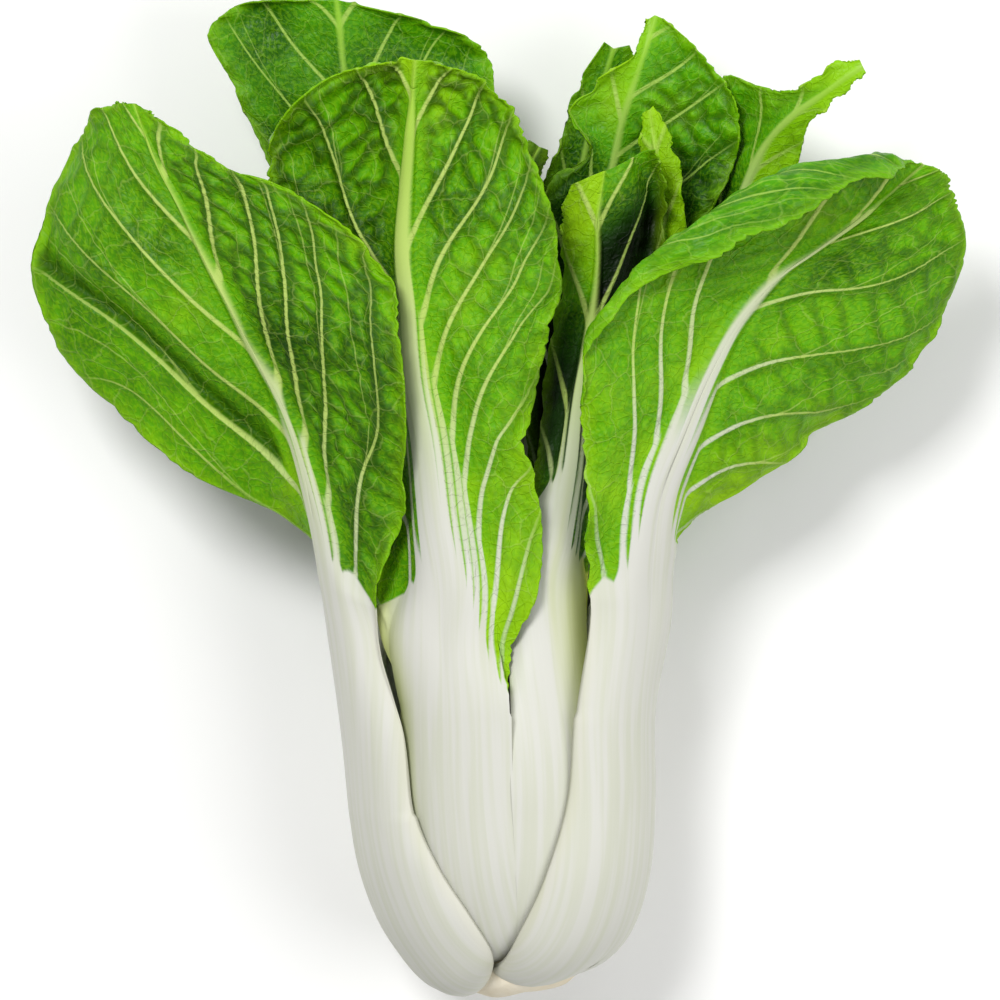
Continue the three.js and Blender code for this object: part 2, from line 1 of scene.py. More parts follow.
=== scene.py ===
import bpy
import numpy as np
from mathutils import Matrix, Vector


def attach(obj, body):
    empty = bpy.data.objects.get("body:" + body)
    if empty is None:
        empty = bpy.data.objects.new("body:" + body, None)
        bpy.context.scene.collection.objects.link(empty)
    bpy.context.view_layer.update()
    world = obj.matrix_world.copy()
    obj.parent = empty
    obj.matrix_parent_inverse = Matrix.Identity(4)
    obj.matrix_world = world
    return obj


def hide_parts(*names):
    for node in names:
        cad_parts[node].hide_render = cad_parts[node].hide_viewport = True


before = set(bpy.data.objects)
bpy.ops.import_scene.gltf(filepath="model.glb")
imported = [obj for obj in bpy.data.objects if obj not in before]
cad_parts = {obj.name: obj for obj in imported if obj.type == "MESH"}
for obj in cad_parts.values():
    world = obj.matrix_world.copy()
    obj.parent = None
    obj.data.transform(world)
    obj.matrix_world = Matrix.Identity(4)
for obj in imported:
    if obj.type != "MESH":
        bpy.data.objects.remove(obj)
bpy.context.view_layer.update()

# A head of bok choy, cut at the root and laid on its back. All shapes are worked out in millimetres,
# with +Y from the cut root to the tips and +Z up from the surface, then moved by SHIFT into the
# shared frame.
SHIFT = np.array([0.42, -164.45, 0.0])

# The closed bundle of stalks: an outer profile of radius against height, squashed by its own weight.
BELLY_RADIUS, BELLY_HEIGHT, BELLY_POWER, FLARE = 52.3, 80.0, 2.6, 20.0
SQUASH, AXIS_HEIGHT, AXIS_RISE = 0.9, 44.0, 0.08

# Its axis leans across: its place at the root and at the belly, and a slip at the very root. The root
# is cut on a slant, so the stalks on the +X side start higher.
ROOT_SHIFT, BELLY_SHIFT, ROOT_SLIP, SLIP_REACH = 4.2, 0.5, 10.0, 5.0
SLANT, SLANT_REACH = 8.0, 6.0

# Outer leaves wrap further round the head at its root: how high up that reaches, and its fall-off.
WRAP_REACH, WRAP_POWER = 46.0, 1.8

# Each ring of leaves lies this far inside the one before it. A leaf's sheet is SHEET_INSET under its
# stalk's outer face, and the stalk's back stands off the sheet by GAP.
RING_STEP, SHEET_INSET, GAP = 9.0, 7.5, 0.35

# A stalk's thickness in its middle and at its last end, and the least height of its back.
STALK_THICK, RIB_TIP_THICK, RIB_EDGE = 7.2, 0.9, 0.7

# The stations up a stalk, as shares of its height above STALK_START.
STALK_START = 0.6
STALK_STATIONS = (0, 0.06, 0.2, 0.42, 0.7, 1)

# The midrib's half width at the neck and at the tip, how far up the blade it stands proud, and the
# most of the section that the stalk takes up once the blade has begun.
RIB_HALF, RIB_TIP_HALF, RIB_REACH, WING_START = 2.4, 0.8, 0.94, 0.97

# The share of a rolled margin that is an arc; the rest is straight.
ARC_SHARE = 0.6

# A margin turns from the stalk's smooth edge to the blade's own over this length.
GREEN_RAMP = 22.0

# The outline comes in and out about once in this length, and has a tooth in each of these.
OUTLINE_WAVE, TOOTH = 27.0, 4.6

# Where a margin is still the stalk's own edge, the blade behind it stops short by this share.
TUCK = 0.07

# How thick a blade is by the stalk and at its margin.
BLADE_THICK, RIM_THICK = 0.9, 0.55

# Side veins leave the stalk almost along it, then bend outwards. A leaf's flow gives for each side the
# length that they first run on (low down, falling with the height), how far they go out meanwhile,
# their later slope, what the slope gains towards the tip, and how they curl up (or down) further out.
VEIN_RUN_FALL = 110.0
VEIN_HALF, VEIN_END_HALF, VEIN_THIN = 0.7, 0.24, 22.0

# A side vein forks this far out, and its branch is half way to the next one after this much more.
FORK_START, FORK_RUN = 17.0, 30.0

# The net of fine veins: the width of its meshes, and of the smaller ones inside them. Real small ones
# are 1 to 2 mm across, too fine to show, so they are drawn coarser. CLOUD is the size of the broad
# changes of the green.
NET, FINE_NET, CLOUD = 11.0, 3.6, 34.0

# The root plate that the stalks grow from, as radius against height above the cut, and its tilt.
CORE = ((0, 0), (11, 0), (16, 1.5), (19.5, 4.5), (20, 9), (18.5, 14), (16.5, 20), (13.5, 28), (10, 35),
        (5, 40), (0, 42))
CORE_X, CORE_TILT = 8.0, 9.0

# Rows up a stalk, rows up a blade, columns across the stalk and across each wing.
FINE, PLAIN, SMALL = (70, 190, 36, 66), (50, 120, 22, 40), (40, 80, 16, 26)

# The flow and the puckers of a blade that is mostly hidden.
STEADY = (14, 5, 0.8, 0.4, 0.003)
MILD = (0.2, 0.5, 0.8, 0.8, 0.5)

# Each leaf has a low side, that of the smaller azimuth round the head, and a high one: 0 and 1. A pair
# of values is for the two, and a row of values inside it runs from the blade's neck to its tip.
# ring, azimuth, top: its ring, its place round the head, and the height where its stalk ends as such.
# spread, wrap: how far the stalk reaches round on each side, in degrees, and what the root adds to it.
# edge: how thick the stalk is at its edges. taper: how soon it narrows to a midrib, up the blade.
# seam: a side whose stalk keeps its full thickness to the edge, where it lies flush with its neighbour.
# rib, low, high: stations up the blade, along its middle and its two margins.
# bow: the bulge of each half of a section, as a share of its chord.
# fold, turn: the length of the rolled margin, and how far it turns in degrees.
# waves: the ruffles' size, count and start.
# veins: the heights above the neck at which side veins leave the stalk. flow: their paths.
# green_from: the y where each side turns green. tone: how light the green is, partly its own green and
# partly painted light and shade; below 0 it is painted shade, near black, on the parts hidden deep inside
# the head.
# pucker: how deep the blade is quilted between its veins.
# midrib: the white share of the midrib's width. yellows: how early it turns yellow up the blade.
# bites: notches in a margin, each as side, share up the blade, half width there and depth.
# step: a vein at which the blade drops, as side, which vein, depth and width of the dip above it; the dip
# also gets painted shade.
# lime: a yellow-green band down a stalk's margin, as side, first and last y, width and strength.
LEAVES = (
    dict(
        name="left", ring=0, azimuth=163, top=62, taper=0.3, sizes=FINE,
        spread=(26, 33), wrap=(40, 0), edge=(1.4, 1.4),
        rib=((-44.5, 88, 58.5), (-49, 118, 62), (-53.5, 140, 66), (-59, 164, 71), (-68, 192, 76),
             (-81, 217, 81), (-93, 239, 83), (-102, 257, 82), (-110, 272, 79), (-116, 285, 74),
             (-119, 293, 71.5)),
        low=((-31.5, 88, 74), (-40, 114, 70), (-41, 132, 72), (-35, 156, 82), (-33, 183, 92),
             (-33, 214, 99), (-41, 239, 100), (-65, 261, 97), (-92, 273, 90), (-108, 285, 79),
             (-115, 291, 73)),
        high=((-46, 88, 38), (-53, 118, 46), (-57, 142, 52), (-71, 158, 58), (-104, 176, 60),
              (-138, 203, 57), (-153, 233, 55), (-148, 262, 56), (-138, 286, 59), (-127, 293, 66),
              (-122, 293, 70)),
        bow=((0.05, 0.08, 0.1), (0.05, 0.06, 0.1)), fold=((0, 3, 4, 3, 1), (0, 1, 2, 2, 1)),
        turn=(50, -40), waves=(3.4, 4.2, 0.1),
        veins=((58, 84, 106, 125, 143, 178), (58, 84, 108, 128, 156, 192)),
        flow=((30, 8, 0.55, 1.9, 0.004), (30, 14, 1.5, 0.5, -0.011)),
        green_from=(128, 126),
        tone_and_painted_shade=((0.5, 0.4, 0.35, 0.5, 0.65), (1.0, 0.9, 0.5, 0.4, 0.5)),
        pucker=((0.6, 2.2, 3.4, 3.0, 1.2), (0.4, 0.9, 1.1, 1.6, 1.0)), step=(1, 2, 4.5, 8),
        bites=((0, 0.8, 0.03, 2.5), (1, 0.62, 0.03, 3.0), (1, 0.33, 0.03, 2.5), (1, 0.8, 0.02, 2.0)),
    ),
    dict(
        name="front", ring=1, azimuth=116, top=95, taper=0.46, sizes=FINE,
        spread=(30.2, 33.5), wrap=(-1.0, 0), edge=(4.6, 1.4), seam=0,
        rib=((-17, 119, 75), (-17, 138, 78), (-20, 159, 80), (-23, 182, 83), (-27, 203, 85),
             (-29, 225, 87), (-31, 244, 90), (-30, 262, 94), (-29, 276, 99), (-28, 290, 104),
             (-27, 303.5, 108.5)),
        low=((4, 115, 78), (12, 136, 80), (13, 162, 82), (8, 182, 84), (12, 206, 86), (18, 227, 88),
             (17, 246, 90), (12, 267, 94), (4, 286, 99), (-7, 298, 104), (-20, 302, 108.5)),
        high=((-39.5, 118, 66.5), (-40.5, 136, 66), (-40, 159, 66), (-44, 187, 70), (-53, 211, 72),
              (-62, 234, 75), (-70, 255, 78), (-73, 272, 82), (-68, 287, 89), (-53, 299, 98),
              (-34, 303, 107)),
        bow=((0.05, 0.1, -0.12), (0.05, -0.03, -0.2)), fold=((0, 2, 3, 3, 1), (0, 2, 3, 4, 1)),
        turn=(-45, 60), waves=(2.4, 5.3, 0.45),
        veins=((38, 57, 75, 90, 108, 128, 152, 184), (60, 95, 134, 170, 196)),
        flow=((26, 4, 1.05, 0.5, 0.003), (6, 3, 0.9, 0.6, 0.003)),
        green_from=(86, 120),
        tone_and_painted_shade=((0.95, 0.75, 0.55, 0.5, 0.75), (0.5, 0.35, 0.15, 0.35, 0.9)),
        pucker=((0.2, 0.8, 1.4, 2.8, 3.4), (0.2, 1.0, 2.6, 3.8, 3.8)),
        midrib=0.42, lime=(1, 45, 178, 15, 0.75),
        bites=((0, 0.3, 0.016, 1.8), (0, 0.37, 0.012, 1.4), (0, 0.52, 0.02, 1.6)),
    ),
    dict(
        name="right", ring=0, azimuth=30, top=95, taper=0.36, sizes=FINE,
        spread=(33, 28), wrap=(0, 33.5), edge=(1.4, 1.4),
        rib=((44, 125, 66), (46, 146, 71), (50, 167, 76), (58, 186, 79), (66, 204, 81), (76, 222, 82),
             (89, 236, 81), (102, 245, 78), (115, 254, 74), (126, 263, 70), (138, 273.5, 68)),
        low=((55, 124, 50), (59, 149, 58), (73, 164, 60), (97, 179, 57), (119, 194, 54), (137, 210, 53),
             (148, 228, 54), (152, 246, 56), (150, 261, 60), (147, 269, 63), (141, 273, 66)),
        high=((29, 125, 79), (28, 145, 83), (27, 169, 88), (27, 193, 93), (29, 217, 96), (44, 234, 96),
              (64, 247, 93), (85, 258, 88), (106, 268, 83), (123, 273, 78), (134, 274, 71)),
        bow=((0.04, 0.08, 0.08), (0.05, 0.08, 0.16)),
        fold=((0, 1, 2, 2, 1), (0, 0.5, 1, 2, 9, 24, 33, 19, 2)),
        turn=(-35, 165), waves=(2.6, 4.6, 0.8),
        veins=((40, 57, 74, 91, 112, 140, 172), (45, 74, 91, 108, 150, 180)),
        flow=((18, 8, 0.05, 0.5, 0.0), (30, 8, 1.5, 0.4, 0.003)),
        green_from=(134, 122),
        tone_and_painted_shade=((1.1, 0.9, 0.5, 0.4, 0.5), (0.7, 0.7, 0.62, 0.5, 0.5)),
        pucker=((0.3, 1.1, 1.8, 2.0, 1.4), (0.2, 0.6, 1.0, 1.6, 1.6)),
        bites=((0, 0.2, 0.014, 3.5), (0, 0.4, 0.016, 3.0), (0, 0.55, 0.02, 2.0)), yellows=0.7,
    ),
    dict(
        name="centre", ring=1, azimuth=60, top=82, taper=0.34, sizes=PLAIN,
        spread=(25.5, 26.2), wrap=(0, -1.0), edge=(1.4, 4.6), seam=1,
        rib=((15, 131, 68), (19, 154, 69), (23, 177, 69), (26, 200, 67), (30, 223, 66), (32, 240, 68),
             (32, 256, 70), (34, 271, 71.5)),
        low=((28, 131, 62), (32, 155, 61), (35, 180, 60), (40, 204, 59), (45, 229, 60), (48, 250, 61),
             (47, 265, 65), (42, 275, 70)),
        high=((4, 131, 69), (9, 154, 67), (12, 173, 64), (14, 198, 61), (18, 221, 60), (21, 242, 62),
              (20, 257, 66), (24, 267, 70)),
        bow=((0.05, 0.12, 0.2), (0.05, 0.08, 0.1)), fold=((0, 2, 4, 9, 12), (0, 2, 2, 2, 2)),
        turn=(110, -50), waves=(2, 4.4, 0.3),
        veins=((30, 48, 62, 76, 92, 112, 140), (30, 48, 62, 76, 92, 112, 140)),
        flow=((24, 5, 1.2, 0.4, 0.003), (24, 5, 1.2, 0.4, 0.003)),
        green_from=(130, 154),
        tone_and_painted_shade=((0.7, 0.0, -0.9, -0.6, 0.4), (0.7, 0.1, -0.7, 0.8, 1.3)), midrib=0.3,
        pucker=((0.1, 0.4, 0.8, 1.0, 0.8), (0.1, 0.6, 1.0, 1.4, 0.8)), lime=(0, 72, 190, 19, 1.0),
    ),
    dict(
        name="tall", ring=2, azimuth=304, top=115, taper=0.22, sizes=PLAIN,
        spread=(27, 27), wrap=(0, 0), edge=(1.4, 1.4),
        rib=((20, 151, 29), (22, 177, 30), (24, 204, 32), (27, 227, 34), (31, 249, 38), (34, 262, 40),
             (37, 275, 42), (40, 287, 44), (43, 298, 46), (47, 310, 48), (51.5, 324, 48.5)),
        low=((11, 150, 27), (8, 177, 29), (8, 206, 32), (9, 232, 36), (12, 254, 40), (15, 267, 43),
             (26, 281, 45), (23, 291, 47), (31, 302, 48), (44, 311, 49), (49, 323, 48)),
        high=((30, 152, 32), (35, 180, 33), (43, 209, 35), (52, 234, 39), (62, 250, 43), (71, 262, 46),
              (77, 274, 48), (79, 286, 50), (77, 297, 51), (68, 310, 51), (54, 323, 49)),
        bow=((0.05, 0.1, 0.1), (0.05, 0.12, 0.14)), fold=((0, 1, 2, 2, 1), (0, 1, 2, 2, 1)),
        turn=(-70, -90), waves=(2, 4.8, 0.65),
        veins=((50, 80, 110, 140, 170), (50, 82, 108, 134, 160, 180)),
        flow=((20, 6, 1.0, 0.4, 0.003), (12, 5, 0.5, 0.2, 0.0)),
        tone_and_painted_shade=((-0.9, -0.8, -0.3, 0.8, 0.85), (-0.9, -0.9, -0.1, 0.5, 0.7)),
        pucker=((0.2, 0.6, 0.8, 0.8, 0.5), (0.2, 1.2, 2.8, 2.6, 0.6)),
        bites=((0, 0.63, 0.05, 5.5), (0, 0.8, 0.03, 2.0), (1, 0.5, 0.02, 1.5)),
    ),
    dict(
        name="strip", ring=2, azimuth=8, top=115, taper=0.22, sizes=SMALL,
        spread=(20, 20), wrap=(0, 0), edge=(1.4, 1.4),
        rib=((43, 164, 47), (46, 190, 49), (49, 216, 50), (53, 241, 52), (53, 260, 56), (51, 278, 60),
             (49, 292, 60)),
        low=((46, 164, 41), (51, 192, 44), (57, 220, 48), (60, 243, 54), (61, 262, 59), (57, 280, 61),
             (50, 293, 60)),
        high=((41, 162, 51), (43, 189, 51), (45, 215, 51), (45, 240, 53), (46, 259, 55), (46, 276, 57),
              (47, 291, 60)),
        bow=((0.05, 0.1, 0.1), (0.05, 0.1, 0.1)), fold=((0, 1, 1, 1, 1), (0, 1, 1, 1, 1)),
        turn=(-60, -60), waves=(1.5, 4, 0.2),
        veins=((50, 80, 110, 136, 160), (50, 80, 110, 136, 160)),
        flow=(STEADY, STEADY),
        tone_and_painted_shade=((-0.8, -0.4, 0.8, 1.0, 0.9), (-0.9, -0.8, 0.5, 0.8, 0.8)),
        pucker=(MILD, MILD),
    ),
    dict(
        name="back_right", ring=1, azimuth=340, top=104, taper=0.24, sizes=PLAIN,
        spread=(24, 24), wrap=(0, 0), edge=(1.4, 1.4),
        rib=((35.5, 150, 33), (45, 177, 34), (54, 202, 37), (63, 227, 40), (72, 247, 43), (80, 265, 48),
             (87, 280, 54), (95, 289, 61), (105, 296, 68), (112, 301, 71), (118, 305, 72)),
        low=((30, 149, 25), (34, 177, 25), (41, 206, 26), (47, 234, 28), (54, 260, 31), (62, 284, 36),
             (73, 304, 43), (86, 300, 54), (98, 299, 63), (108, 306, 70), (117, 307, 72)),
        high=((46, 152, 39), (57, 177, 40), (69, 201, 42), (82, 223, 44), (93, 243, 47), (97, 262, 51),
              (98, 277, 57), (102, 287, 63), (108, 293, 68), (115, 299, 71), (119, 303, 72)),
        bow=((0.05, 0.1, 0.1), (0.05, 0.1, 0.1)), fold=((0, 1, 2, 1, 0.5), (0, 2, 2, 1, 0.5)),
        turn=(-60, -70), waves=(2.2, 4.5, 0.9),
        veins=((50, 85, 120, 150, 175), (50, 85, 120, 150, 175)),
        flow=(STEADY, STEADY),
        tone_and_painted_shade=((-0.8, -0.6, 0.2, 0.6, 1.4), (-0.4, 0.1, 0.9, 1.0, 1.5)),
        pucker=((0.2, 0.6, 1.2, 1.2, 0.5), (0.2, 0.6, 1.2, 1.2, 0.5)),
    ),
    dict(
        name="back_middle", ring=2, azimuth=246.5, top=115, taper=0.22, sizes=SMALL,
        spread=(26, 25), wrap=(0, 0), edge=(1.4, 1.4),
        rib=((5, 151, 15), (8, 177, 15), (12, 206, 16), (17, 231, 18), (22, 255, 20), (28, 279, 23),
             (33, 299, 27), (38, 315, 30)),
        low=((-4, 150, 16), (-3, 177, 16), (-1, 208, 17), (4, 235, 19), (11, 261, 22), (19, 284, 25),
             (26, 303, 28), (35, 317, 31)),
        high=((15, 151, 15), (21, 179, 15), (28, 208, 16), (34, 235, 18), (41, 261, 21), (47, 285, 24),
              (48, 302, 28), (43, 316, 31)),
        bow=((0.05, 0.08, 0.1), (0.05, 0.08, 0.1)), fold=((0, 1, 1, 1, 1), (0, 1, 2, 2, 1)),
        turn=(-60, -60), waves=(1.8, 4.6, 0.5),
        veins=((50, 85, 120, 150, 175), (50, 85, 120, 150, 175)),
        flow=(STEADY, STEADY),
        tone_and_painted_shade=((-0.9, -0.9, -0.5, 0.15, 0.35), (-0.9, -0.9, -0.5, 0.15, 0.35)),
        pucker=(MILD, MILD),
    ),
    dict(
        name="back_left", ring=1, azimuth=203, top=110, taper=0.24, sizes=PLAIN,
        spread=(28, 28), wrap=(0, 0), edge=(1.4, 1.4),
        rib=((-23, 151, 32), (-27, 177, 35), (-32, 202, 38), (-37, 226, 41), (-42, 250, 44),
             (-46, 273, 46), (-50, 293, 47), (-52, 309, 48), (-53, 321, 50), (-54, 329, 51)),
        low=((-31, 151, 38), (-38, 179, 42), (-48, 209, 46), (-58, 234, 48), (-69, 258, 50),
             (-80, 283, 50), (-89, 303, 49), (-96, 319, 48), (-84, 328, 50), (-63, 329, 51)),
        high=((-19, 149, 20), (-17, 176, 25), (-13, 202, 29), (-12, 227, 31), (-9, 251, 33),
              (-6, 275, 37), (-3, 297, 43), (-5, 313, 45), (-24, 322, 48), (-45, 327, 51)),
        bow=((0.05, 0.06, 0.08), (0.05, 0.08, 0.1)), fold=((0, 0.5, 2, 2, 1), (0, 0.5, 2, 2, 1)),
        turn=(-80, -50), waves=(2.4, 4.7, 0.15),
        veins=((55, 95, 130, 158, 184), (50, 90, 126, 158, 184)),
        flow=((10, 5, 0.6, 0.4, 0.003), (14, 6, 0.8, 0.4, 0.003)),
        tone_and_painted_shade=((0.2, 0.15, 0.15, 0.25, 0.4), (0.0, -0.1, 0.1, 0.3, 0.4)),
        pucker=((0.2, 0.5, 0.8, 0.9, 0.5), (0.2, 0.5, 0.8, 0.9, 0.5)),
    ),
    dict(
        name="floor_left", ring=0, azimuth=237, top=108, taper=0.28, sizes=SMALL,
        spread=(37, 37), wrap=(0, 0), edge=(1.4, 1.4),
        rib=((-24, 157, 11), (-36, 179, 9), (-51, 200, 8), (-66, 218, 8), (-81, 235, 8), (-93, 249, 8),
             (-102, 258, 9)),
        low=((-44, 152, 19), (-66, 170, 10), (-88, 179, 4), (-111, 195, 0), (-126, 219, 0),
             (-128, 242, 2), (-115, 258, 6)),
        high=((-7, 162, 9), (-12, 191, 7), (-18, 220, 5), (-29, 242, 3), (-46, 259, 2), (-68, 264, 4),
              (-91, 263, 8)),
        bow=((0.08, 0, -0.04), (0.08, 0, -0.04)), fold=((0, 0.5, 3, 3, 2), (0, 0.5, 3, 3, 2)),
        turn=(-40, -50), waves=(1.6, 4.2, 0.7),
        veins=((30, 55, 80, 104, 126), (30, 55, 80, 104, 126)),
        flow=(STEADY, STEADY),
        tone_and_painted_shade=((0.5, 0.45, 0.4, 0.4, 0.45), (0.5, 0.45, 0.4, 0.4, 0.45)),
        pucker=(MILD, MILD),
    ),
    dict(
        name="floor_right", ring=0, azimuth=316, top=112, taper=0.28, sizes=SMALL,
        spread=(37, 37), wrap=(0, 0), edge=(1.4, 1.4),
        rib=((30, 157, 11), (44, 179, 9), (59, 199, 8), (75, 216, 8), (91, 229, 8), (104, 241, 8),
             (115, 249, 9)),
        low=((20, 164, 9), (22, 193, 7), (30, 222, 5), (43, 243, 3), (61, 257, 2), (83, 261, 4),
             (107, 257, 8)),
        high=((54, 149, 21), (72, 170, 9), (93, 182, 3), (115, 197, 0), (130, 217, 0), (132, 237, 2),
              (122, 251, 6)),
        bow=((0.08, 0, -0.04), (0.08, 0, -0.04)), fold=((0, 0.5, 3, 3, 2), (0, 0.5, 3, 3, 2)),
        turn=(-50, -40), waves=(1.6, 4.4, 0.35),
        veins=((30, 55, 80, 104, 126), (30, 55, 80, 104, 126)),
        flow=(STEADY, STEADY),
        tone_and_painted_shade=((0.5, 0.45, 0.4, 0.4, 0.45), (0.5, 0.45, 0.4, 0.4, 0.45)),
        pucker=(MILD, MILD),
    ),
    dict(
        name="heart", ring=3, azimuth=120, top=118, taper=0.26, sizes=SMALL,
        spread=(30, 30), wrap=(0, 0), edge=(1.4, 1.4),
        rib=((-1, 157, 49), (-2, 182, 45), (-2, 208, 41), (-1, 234, 38), (2, 256, 36), (8, 272, 34),
             (13, 282, 32)),
        low=((6, 157, 47), (5, 182, 42), (4, 208, 38), (5, 234, 35), (8, 254, 33), (14, 270, 31),
             (16, 281, 31)),
        high=((-7, 157, 48), (-8, 182, 45), (-8, 208, 42), (-7, 234, 40), (-3, 256, 38), (3, 273, 36),
              (10, 284, 33)),
        bow=((0.05, 0.12, 0.12), (0.05, 0.12, 0.12)), fold=((0, 1, 1, 1, 1), (0, 1, 1, 1, 1)),
        turn=(-60, -60), waves=(1.2, 3.6, 0.6),
        veins=((30, 60, 90, 116), (30, 60, 90, 116)),
        flow=(STEADY, STEADY),
        tone_and_painted_shade=((-0.9, -0.9, -0.9, -0.6, -0.3), (-0.9, -0.9, -0.9, -0.6, -0.3)),
        pucker=((0.2, 0.4, 0.6, 0.6, 0.4), (0.2, 0.4, 0.6, 0.6, 0.4)),
    ),
)


def smooth(x):
    """0 below 0, 1 above 1, and three times the square less twice the cube between."""
    x = np.clip(x, 0, 1)
    return x * x * (3 - 2 * x)


def through(values, v):
    """A value that runs smoothly through an even list as v goes from 0 to 1."""
    values = np.asarray(values, float)
    place = np.clip(v, 0, 1) * (len(values) - 1)
    i = np.minimum(np.floor(place).astype(int), len(values) - 2)
    return values[i] + (values[i + 1] - values[i]) * smooth(place - i)


def catmull(points, t):
    """The uniform Catmull-Rom curve through the points: on each span a cubic whose slope at an end is
    half the chord between that end's two neighbours; past each end the last chord is repeated."""
    points = np.asarray(points, float)
    spans = len(points) - 1
    padded = np.vstack([2 * points[0] - points[1], points, 2 * points[-1] - points[-2]])
    place = np.clip(t, 0, 1) * spans
    i = np.minimum(np.floor(place).astype(int), spans - 1)
    w = (place - i)[..., None]
    before, start, end, after = padded[i], padded[i + 1], padded[i + 2], padded[i + 3]
    leave, arrive = (end - before) / 2, (after - start) / 2
    return (start + w * leave + w**2 * (3 * (end - start) - 2 * leave - arrive)
            + w**3 * (2 * (start - end) + leave + arrive))


def unit(vectors):
    """Each vector divided by its own length."""
    return vectors / np.maximum(np.linalg.norm(vectors, axis=-1, keepdims=True), 1e-12)


def bundle_radius(height):
    """A superellipse that closes at the root and reaches the belly, then a slow square-law flare."""
    below = np.clip(1 - height / BELLY_HEIGHT, 0, 1)
    bulb = BELLY_RADIUS * (1 - below**BELLY_POWER) ** (1 / BELLY_POWER)
    return np.where(height >= BELLY_HEIGHT,
                    BELLY_RADIUS + FLARE * ((height - BELLY_HEIGHT) / 100) ** 2, bulb)


def bundle_point(height, azimuth, depth):
    """A point of the outer profile at a height and azimuth, moved inwards along the profile's normal
    by the depth, on an axis that leans across and slips at the root; the root is cut on a slant."""
    slope = (bundle_radius(height + 0.05) - bundle_radius(height)) / 0.05
    norm = np.hypot(1, slope)
    radius = bundle_radius(height) - depth / norm
    lift = SLANT * smooth((np.cos(azimuth) + 0.35) / 0.7) * np.exp(-height / SLANT_REACH)
    y = height + depth * slope / norm + lift
    lean = ROOT_SHIFT - (ROOT_SHIFT - BELLY_SHIFT) * np.clip(height / BELLY_HEIGHT, 0, 1)
    axis_x = lean - ROOT_SLIP * np.exp(-height / SLIP_REACH)
    axis_z = AXIS_HEIGHT + AXIS_RISE * np.maximum(0, y - BELLY_HEIGHT)
    return np.stack([axis_x + radius * np.cos(azimuth), y,
                     axis_z + SQUASH * radius * np.sin(azimuth)], axis=-1)


def cells(x, y, seed):
    """How far a place is from the border of its cell, where each unit square has one point at a
    scattered spot and owns what is nearest to it: the second nearest distance less the nearest."""
    first = np.full(x.shape, 9.0)
    second = first.copy()
    for dx in (-1, 0, 1):
        for dy in (-1, 0, 1):
            i = np.floor(x) + dx
            j = np.floor(y) + dy
            a = np.sin(i * 127.1 + j * 311.7 + seed) * 43758.5453
            b = np.sin(i * 269.5 + j * 183.3 + seed) * 43758.5453
            far = np.hypot(i + 0.5 + 0.75 * (a - np.floor(a) - 0.5) - x,
                           j + 0.5 + 0.75 * (b - np.floor(b) - 0.5) - y)
            second = np.minimum(second, np.maximum(first, far))
            first = np.minimum(first, far)
    return second - first


